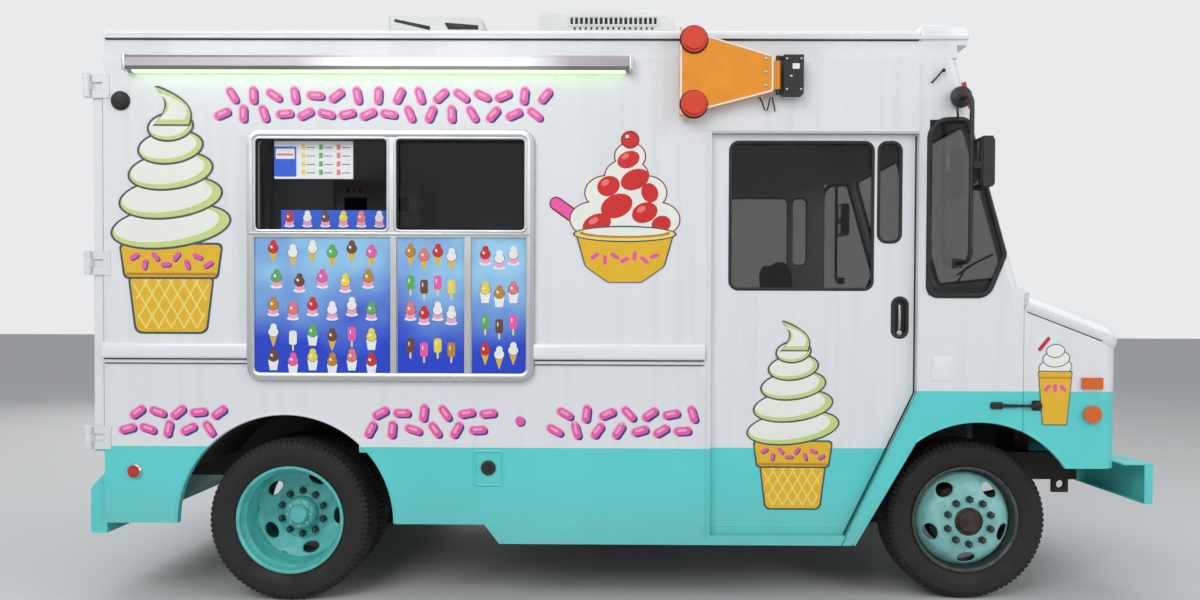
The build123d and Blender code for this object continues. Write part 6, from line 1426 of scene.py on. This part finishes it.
treads = [lugs((-2.6, 1.09, 0.35), (0, -2.18, 0), (0, 0, 0.2)),
    lugs((-2.586, 1.09, 0.581), (0, -2.18, 0), (0.064, 0, 0.067))]
piece("treadLugs", treads, bumperFinish, sharp=20)
rearLamp = {"x": -2.52, "y": 0.985, "z": 0.699, "radius": 0.042}
for hand, side in sides.items():
    lens = lathe([(0.02, 0.04), (0.027, 0.036), (0.032, 0.024), (0.034, 0)],
        (rearLamp["x"], side * rearLamp["y"], rearLamp["z"]), (-1, 0, 0), 40)
    rim = ellipse((side * rearLamp["y"], rearLamp["z"]), (rearLamp["radius"],) * 2, 44)
    rings = [bead(rim, onRear(rearLamp["x"]),
        [(-0.004, -0.001), (-0.004, 0.021), (0.0, 0.023), (0.005, 0.018), (0.01, -0.001)]),
        bead(ellipse((-2.37, 0.652), (0.03, 0.03), 36), onSide(side, sideY),
        [(-0.003, -0.001), (-0.003, 0.017), (0.0, 0.019), (0.005, 0.014), (0.009, -0.001)])]
    piece(f"rearLens.{hand}", lens, redLensFinish, sharp=60)
    piece(f"lampRings.{hand}", rings, chromeFinish)
numberPlate = plate((-0.152, 0.152), (0.385, 0.535), 0.012, onRear(-2.6), -0.001, 0.004, 0.001)
plateEdge = bead(rectangle((-0.155, 0.155), (0.382, 0.538), 0.014), onRear(-2.6), beadSection(0.01, 0.007))
piece("numberPlate", numberPlate, glossWhite)
piece("plateEdge", plateEdge, gasketAndShadeFinish)
rearCup = {"y": (0.06, 0.15), "z": (1.24, 1.42), "radius": 0.016, "gripY": 0.105}
for hand, side in sides.items():
    u, gripY = np.sort(np.array(rearCup["y"]) * side), side * rearCup["gripY"]
    dish = bead(rectangle(u, rearCup["z"], rearCup["radius"]), onRear(rearX), beadSection(0.01, 0.004))
    back = plate(u, rearCup["z"], rearCup["radius"], onRear(rearX), -0.0195, -0.0165)
    grip = tube([(-2.556, gripY, 1.275), (-2.569, gripY, 1.29), (-2.572, gripY, 1.33),
        (-2.569, gripY, 1.37), (-2.556, gripY, 1.385)], 0.008, 12)
    lock = lathe([(0, 0), (0, 0.011), (0.006, 0.011), (0.007, 0.009), (0.007, 0)], (-2.555, gripY, 1.4),
        (-1, 0, 0), 18)
    body = f"rear_door_{hand}"
    piece(f"rearCup.{hand}", [dish, back], blackFinish, body)
    piece(f"rearGrip.{hand}", [grip, lock], boltFinish, body)
    if side < 0:
        # the bulb seal that closes the gap between the doors
        seal = plate((-0.0035, 0.002), (0.752, 2.581), 0.001, onRear(-2.566), -0.016, 0.0)
        piece("rearSeal", seal, gasketAndShadeFinish, body)
    seam = plate(np.sort(np.array((0.004, 0.012)) * side), (0.752, 2.581), 0.002, onRear(rearX), -0.0005,
        0.0018)
    piece(f"rearSeam.{hand}", seam, gasketAndShadeFinish, body)
    heads = [(rearX, side * y, z) for y in (0.93, 0.985, 1.04) for z in (0.815, 1.6665, 2.525)]
    heads += [(rearX, side * y, z) for y in (0.03, 1.085) for z in np.arange(0.8, 2.56, 0.11)]
    piece(f"rearRivets.{hand}", repeated(dome(rivet["radius"], rivet["height"]), heads, rearAxes),
        bodyFinish, body)
print("front and rear fittings done")

# Inside

# Driver's seat: a cushion and a back of grained vinyl, blown up as cloth from slightly smaller blocks
seat = {"voxel": 0.0065, "pressure": 4.0, "steps": 20, "cap": 0.022, "grooveDepth": 0.008,
    "grooveWidth": 0.007, "middleY": -0.57, "panel": 0.135, "grooves": (-0.09, -0.045, 0.0, 0.045, 0.09),
    "piping": 0.0045}


# Blows up a closed mesh by cloth pressure; no point moves farther than the cap
def inflated(mesh):
    holder = newObject("inflating", mesh)
    cloth = holder.modifiers.new("cloth", "CLOTH")
    cloth.settings.use_pressure = True
    cloth.settings.uniform_pressure_force = seat["pressure"]
    cloth.settings.effector_weights.gravity = 0.0
    cloth.point_cache.frame_end = seat["steps"]
    for step in range(1, seat["steps"] + 1):
        scene.frame_set(step)
    start = np.empty(len(mesh.vertices) * 3)
    mesh.vertices.foreach_get("co", start)
    moved = np.empty_like(start)
    holder.evaluated_get(bpy.context.evaluated_depsgraph_get()).data.vertices.foreach_get("co", moved)
    shift = (moved - start).reshape(-1, 3)
    reach = np.linalg.norm(shift, axis=1)
    shift *= np.minimum(1.0, seat["cap"] / np.maximum(reach, 1e-9))[:, None]
    mesh.vertices.foreach_set("co", start + shift.ravel())
    bpy.data.objects.remove(holder)
    scene.frame_set(1)


# The mesh that an object's one modifier makes
def modified(mesh, kind, **properties):
    holder = newObject("shaping", mesh)
    modifier = holder.modifiers.new("shape", kind)
    for key, value in properties.items():
        setattr(modifier, key, value)
    made = bpy.data.meshes.new_from_object(holder.evaluated_get(bpy.context.evaluated_depsgraph_get()))
    bpy.data.objects.remove(holder)
    return made


# corners is the pad's outline in X and Z, face the way its panel looks, fall the height of its seam
def stuffedPad(name, corners, face, fall, replaced=()):
    outline = rounded(corners, 0.028, 6)
    halves = [slab(outline, lambda u, v, w, turn=turn: np.stack([u, seat["middleY"] + turn * w, v], -1),
        -0.004, 0.207, 0.026) for turn in (1, -1)]
    points, faces = joined(*halves)
    rough = bpy.data.meshes.new(name)
    rough.from_pydata(points.tolist(), [], faces)
    mesh = modified(rough, "REMESH", mode="VOXEL", voxel_size=seat["voxel"])
    inflated(mesh)
    mesh = modified(mesh, "SUBSURF", levels=1, render_levels=1)
    co = np.empty(len(mesh.vertices) * 3)
    mesh.vertices.foreach_get("co", co)
    normal = np.empty_like(co)
    mesh.vertex_normals.foreach_get("vector", normal)
    co, normal = co.reshape(-1, 3), normal.reshape(-1, 3)
    face = np.array(face) / np.linalg.norm(face)
    off = co[:, 1] - seat["middleY"]
    facing = np.clip((normal @ face - 0.55) / 0.3, 0, 1)
    depth = sum(np.exp(-((off - groove) / seat["grooveWidth"]) ** 2) for groove in seat["grooves"])
    depth = np.maximum(depth, np.exp(-((np.abs(off) - seat["panel"]) / seat["grooveWidth"]) ** 2))
    co -= normal * (depth * facing * seat["grooveDepth"])[:, None]
    mesh.vertices.foreach_set("co", co.ravel())
    mesh.polygons.foreach_set("use_smooth", np.ones(len(mesh.polygons), bool))
    mesh.materials.clear()
    mesh.materials.append(seatFinish)
    pad = newObject(name, mesh)
    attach(pad, "chassis")
    if replaced:
        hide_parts(*replaced)
    # piping lies where a plane square to the face cuts the pad near its face
    height = co @ face
    level = height.max() - fall
    band = co[np.abs(height - level) < 0.0045]
    up = np.cross(face, (0, 1, 0))
    middle = band.mean(0)
    a, b = (band - middle) @ up, (band - middle) @ np.array((0, 1, 0.0))
    scaleA, scaleB = np.abs(a).max(), np.abs(b).max()
    angle = np.arctan2(b / scaleB, a / scaleA)
    bins = ((angle + np.pi) / (2 * np.pi) * 72).astype(int) % 72
    path = np.array([band[bins == n][np.argmax(np.hypot(a, b)[bins == n])]
        for n in range(72) if (bins == n).any()])
    path = (np.roll(path, 1, 0) + path * 2 + np.roll(path, -1, 0)) / 4
    piece(f"{name}Piping", tube(path, seat["piping"], 8, closed=True), gasketAndShadeFinish)


stuffedPad("seatCushion", [(0.952, 1.12), (1.34, 1.12), (1.34, 1.206), (0.952, 1.206)], (0, 0, 1), 0.018,
    ("driver_seat",))
stuffedPad("seatBack", [(0.866, 1.13), (0.944, 1.13), (0.878, 1.716), (0.797, 1.716)], (0.9937, 0, 0.1122),
    0.018)
hinges = [lathe([(0, 0), (0, 0.03), (0.01, 0.03), (0.014, 0.024), (0.014, 0)],
    (0.948, seat["middleY"] + side * 0.213, 1.14), (0, side, 0), 28) for side in (1, -1)]
piece("seatHinges", hinges, blackFinish)
print("seat done")

# Dashboard: dials, switches, a vent row and a glove box on its rear face; pedals hang below
dash = {"x": 1.69, "dials": [(-0.645, 1.395, 0.052), (-0.5, 1.395, 0.052), (-0.745, 1.385, 0.028),
    (-0.4, 1.385, 0.028)]}
place = onRear(dash["x"])
bezels = [bead(ellipse((y, z), (r, r), 40), place, beadSection(0.008, 0.008)) for y, z, r in dash["dials"]]
faces = [slab(ellipse((y, z), (r - 0.003,) * 2, 40), place, -0.001, 0.0025) for y, z, r in dash["dials"]]
piece("dialBezels", bezels, chromeFinish)
piece("dialFaces", faces, blackFinish)
marks = []
for y, z, r in dash["dials"]:
    for angle in np.radians(np.arange(-45, 226, 30)):
        spot = (y + np.cos(angle) * r * 0.8, z + np.sin(angle) * r * 0.8)
        marks.append(slab(stadium(spot, r * 0.16, 0.0022, angle, 3), place, 0.002, 0.0032))
    marks.append(slab(stadium((y + r * 0.22, z + r * 0.2), r * 0.78, 0.003, 0.75, 4), place, 0.002, 0.0042))
piece("dialMarks", marks, inks["white"])
switches = [plate((y, y + 0.022), (1.305, 1.325), 0.004, place, -0.001, 0.007, 0.003)
    for y in np.arange(-0.735, -0.385, 0.045)]
vents = [plate((y0, y0 + 0.15), (z, z + 0.006), 0.002, place, -0.001, 0.002) for y0 in (-0.98, 0.25, 0.86)
    for z in np.arange(1.372, 1.43, 0.013)]
piece("dashSwitches", [*switches, *vents], gasketAndShadeFinish)
glove = [plate((0.48, 0.83), (1.29, 1.44), 0.02, place, -0.001, 0.006, 0.004),
    plate((-0.79, -0.35), (1.335, 1.342), 0.003, place, -0.001, 0.003)]
piece("gloveBox", glove, greyFinish)
pedals = []
for y, z, width in ((-0.465, 0.9, 0.055), (-0.385, 0.89, 0.045)):
    pedals.append(tube([(1.79, y, 1.15), (1.835, y, 1.02), (1.822, y, z)], 0.008, 10))
    pedals.append(plate((y - width / 2, y + width / 2), (z - 0.045, z + 0.045), 0.01, onRear(1.815), -0.006,
        0.006, 0.003))
piece("pedals", pedals, blackFinish)
horn = lathe([(-0.001, 0.03), (0.006, 0.028), (0.01, 0.018), (0.011, 0)],
    (1.48 - 0.014 * 0.6428, seat["middleY"], 1.42 + 0.014 * 0.766), (-0.6428, 0, 0.766), 28)
piece("hornButton", horn, greyFinish, "steering_wheel")

# Galley: cabinet doors with bar handles, freezer lids, and the soft-serve machine's fittings
cabinetDoors, cabinetBars = [], []
place = onSide(-1, -0.546)
for x in np.arange(-2.375, -0.5, 0.3885):
    cabinetDoors.append(plate((x, x + 0.376), (0.985, 1.618), 0.012, place, -0.001, 0.01, 0.003))
    cabinetBars.append(tube([(x + 0.338, 0.538, 1.36), (x + 0.338, 0.518, 1.372), (x + 0.338, 0.518, 1.5),
        (x + 0.338, 0.538, 1.512)], 0.005, 8))
for span, thick in (((-1.055, -0.72), 0.005), ((-0.735, -0.402), 0.014)):
    # two freezer lids, the second slid a little over the first
    cabinetDoors.append(plate(span, (-1.06, -0.53), 0.015, onTop(1.66), thick - 0.005, thick, 0.001))
piece("cabinetDoors", cabinetDoors, stainlessFinish)
piece("cabinetBars", cabinetBars, blackFinish)
machine = {"front": 0.596, "spouts": (-1.75, -1.47)}
place = onSide(-1, -machine["front"])
panel = [plate((-1.88, -1.34), (2.085, 2.3), 0.015, place, -0.001, 0.006, 0.003)]
panel += [plate((-1.885, -1.335), (1.7, 1.722), 0.004, place, -0.001, 0.004, 0.002)]
piece("machinePanel", panel, stainlessFinish)
buttons = [slab(ellipse((x, 2.25), (0.011, 0.011), 18), place, 0.005, 0.01) for x in (-1.8, -1.76, -1.72)]
displays = [plate((x - 0.075, x + 0.075), (2.115, 2.205), 0.006, place, 0.005, 0.008)
    for x in machine["spouts"]]
piece("machineDisplays", displays, gasketAndShadeFinish)
piece("machineButtons", buttons, redLensFinish)
grips, nozzles = [], []
for x in machine["spouts"]:
    grips.append(lathe([(-0.012, 0), (-0.01, 0.012), (0, 0.02), (0.014, 0.02), (0.024, 0.012), (0.026, 0)],
        (x, 0.534, 2.041), (0, -1, 0), 24))
    nozzles.append(lathe([(0.03, 0.0245), (0.004, 0.0245), (-0.006, 0.021), (-0.02, 0.016), (-0.02, 0.011),
        (0.0, 0.011)], (x, 0.651, 1.93), (0, 0, 1), 24))
    # the drip tray's bars below the nozzle
    nozzles += [tube([(x - 0.1, y, 1.7225), (x + 0.1, y, 1.7225)], 0.002, 6)
        for y in np.arange(0.612, 0.69, 0.012)]
piece("machineGrips", grips, gasketAndShadeFinish)
piece("machineNozzles", nozzles, stainlessFinish)
print("inside done")


# Floor, background, lamps and camera

# Backdrop: the camera, glossy and transmission rays see it as it is written
backdrop = {"colour": "E9EAEB", "floor": "DCDDDE", "world": 0.42}
world = bpy.data.worlds.new("studio")
scene.world = world
world.use_nodes = True
tree = world.node_tree
tree.nodes.clear()
rays = addNode(tree, "LightPath").outputs
seen = addNode(tree, "Math", {0: rays["Is Camera Ray"], 1: rays["Is Glossy Ray"]}, operation="MAXIMUM")
seen = addNode(tree, "Math", {0: seen, 1: rays["Is Transmission Ray"]}, operation="MAXIMUM")
soft = addNode(tree, "Background", {"Color": "EEF1F4", "Strength": backdrop["world"]})
plain = addNode(tree, "Background", {"Color": backdrop["colour"], "Strength": 1.0})
both = addNode(tree, "MixShader", {0: seen, 1: soft, 2: plain})
addNode(tree, "OutputWorld", {"Surface": both})

floorFinish, tree, shader, coords = newFinish("matt studio floor", backdrop["floor"], Roughness=0.9)
grain = addNode(tree, "TexNoise", {"Vector": coords, "Scale": 30.0, "Detail": 4.0})
pale = addNode(tree, "Mix", {0: grain, 6: "D6D7D8", 7: backdrop["floor"]}, data_type="RGBA").outputs[2]
feed(tree, shader, {"Base Color": pale})
floorMesh = bpy.data.meshes.new("floor")
floorMesh.from_pydata([(-60, -60, 0), (60, -60, 0), (60, 60, 0), (-60, 60, 0)], [], [(0, 1, 2, 3)])
floorMesh.materials.append(floorFinish)
floor = newObject("floor", floorMesh)

# Large soft lamps: place, what each is aimed at, its size and its power
lamps = {
    "key": {"place": (-3.5, -9.0, 7.0), "aim": (0.0, 0.0, 1.2), "size": 6.0, "watts": 400},
    "fill": {"place": (7.5, -6.0, 4.5), "aim": (0.5, 0.0, 1.2), "size": 6.0, "watts": 200},
    "back": {"place": (-5.0, 8.5, 6.5), "aim": (0.0, 0.0, 1.2), "size": 6.0, "watts": 260},
    "top": {"place": (0.0, 0.0, 9.0), "aim": (0.0, 0.0, 0.0), "size": 8.0, "watts": 200},
}
for name, spec in lamps.items():
    light = bpy.data.lights.new(name, "AREA")
    light.shape, light.size, light.energy = "SQUARE", spec["size"], spec["watts"]
    holder = newObject(name, light)
    away = np.array(spec["place"]) - np.array(spec["aim"])
    holder.location = spec["place"]
    holder.rotation_mode = "QUATERNION"
    holder.rotation_quaternion = Vector(away.tolist()).to_track_quat("Z", "Y")

# The camera stands where the photograph was taken: 28 mm lens, a little nearer the nose
camera = {"place": (-0.064, -5.658, 1.417), "yaw": 0.0076, "pitch": -0.0177, "roll": 0.0039, "lens": 28.0,
    "shiftY": 0.0273}
yaw, pitch, roll = camera["yaw"], camera["pitch"], camera["roll"]
level = np.array((np.cos(yaw), np.sin(yaw), 0.0))
ahead = np.array((-np.sin(yaw) * np.cos(pitch), np.cos(yaw) * np.cos(pitch), np.sin(pitch)))
upward = np.cross(level, ahead)
across = level * np.cos(roll) + upward * np.sin(roll)
upward = np.cross(across, ahead)
cameraData = bpy.data.cameras.new("camera")
cameraData.lens, cameraData.sensor_width, cameraData.shift_y = camera["lens"], 36.0, camera["shiftY"]
cameraData.clip_start, cameraData.clip_end = 0.1, 200.0
cameraObject = newObject("camera", cameraData)
turn = Matrix(np.stack([across, upward, -ahead], 1).tolist()).to_4x4()
cameraObject.matrix_world = Matrix.Translation(camera["place"]) @ turn
scene.camera = cameraObject

bpy.context.scene.view_settings.view_transform = "Standard"
print("stage and camera done")
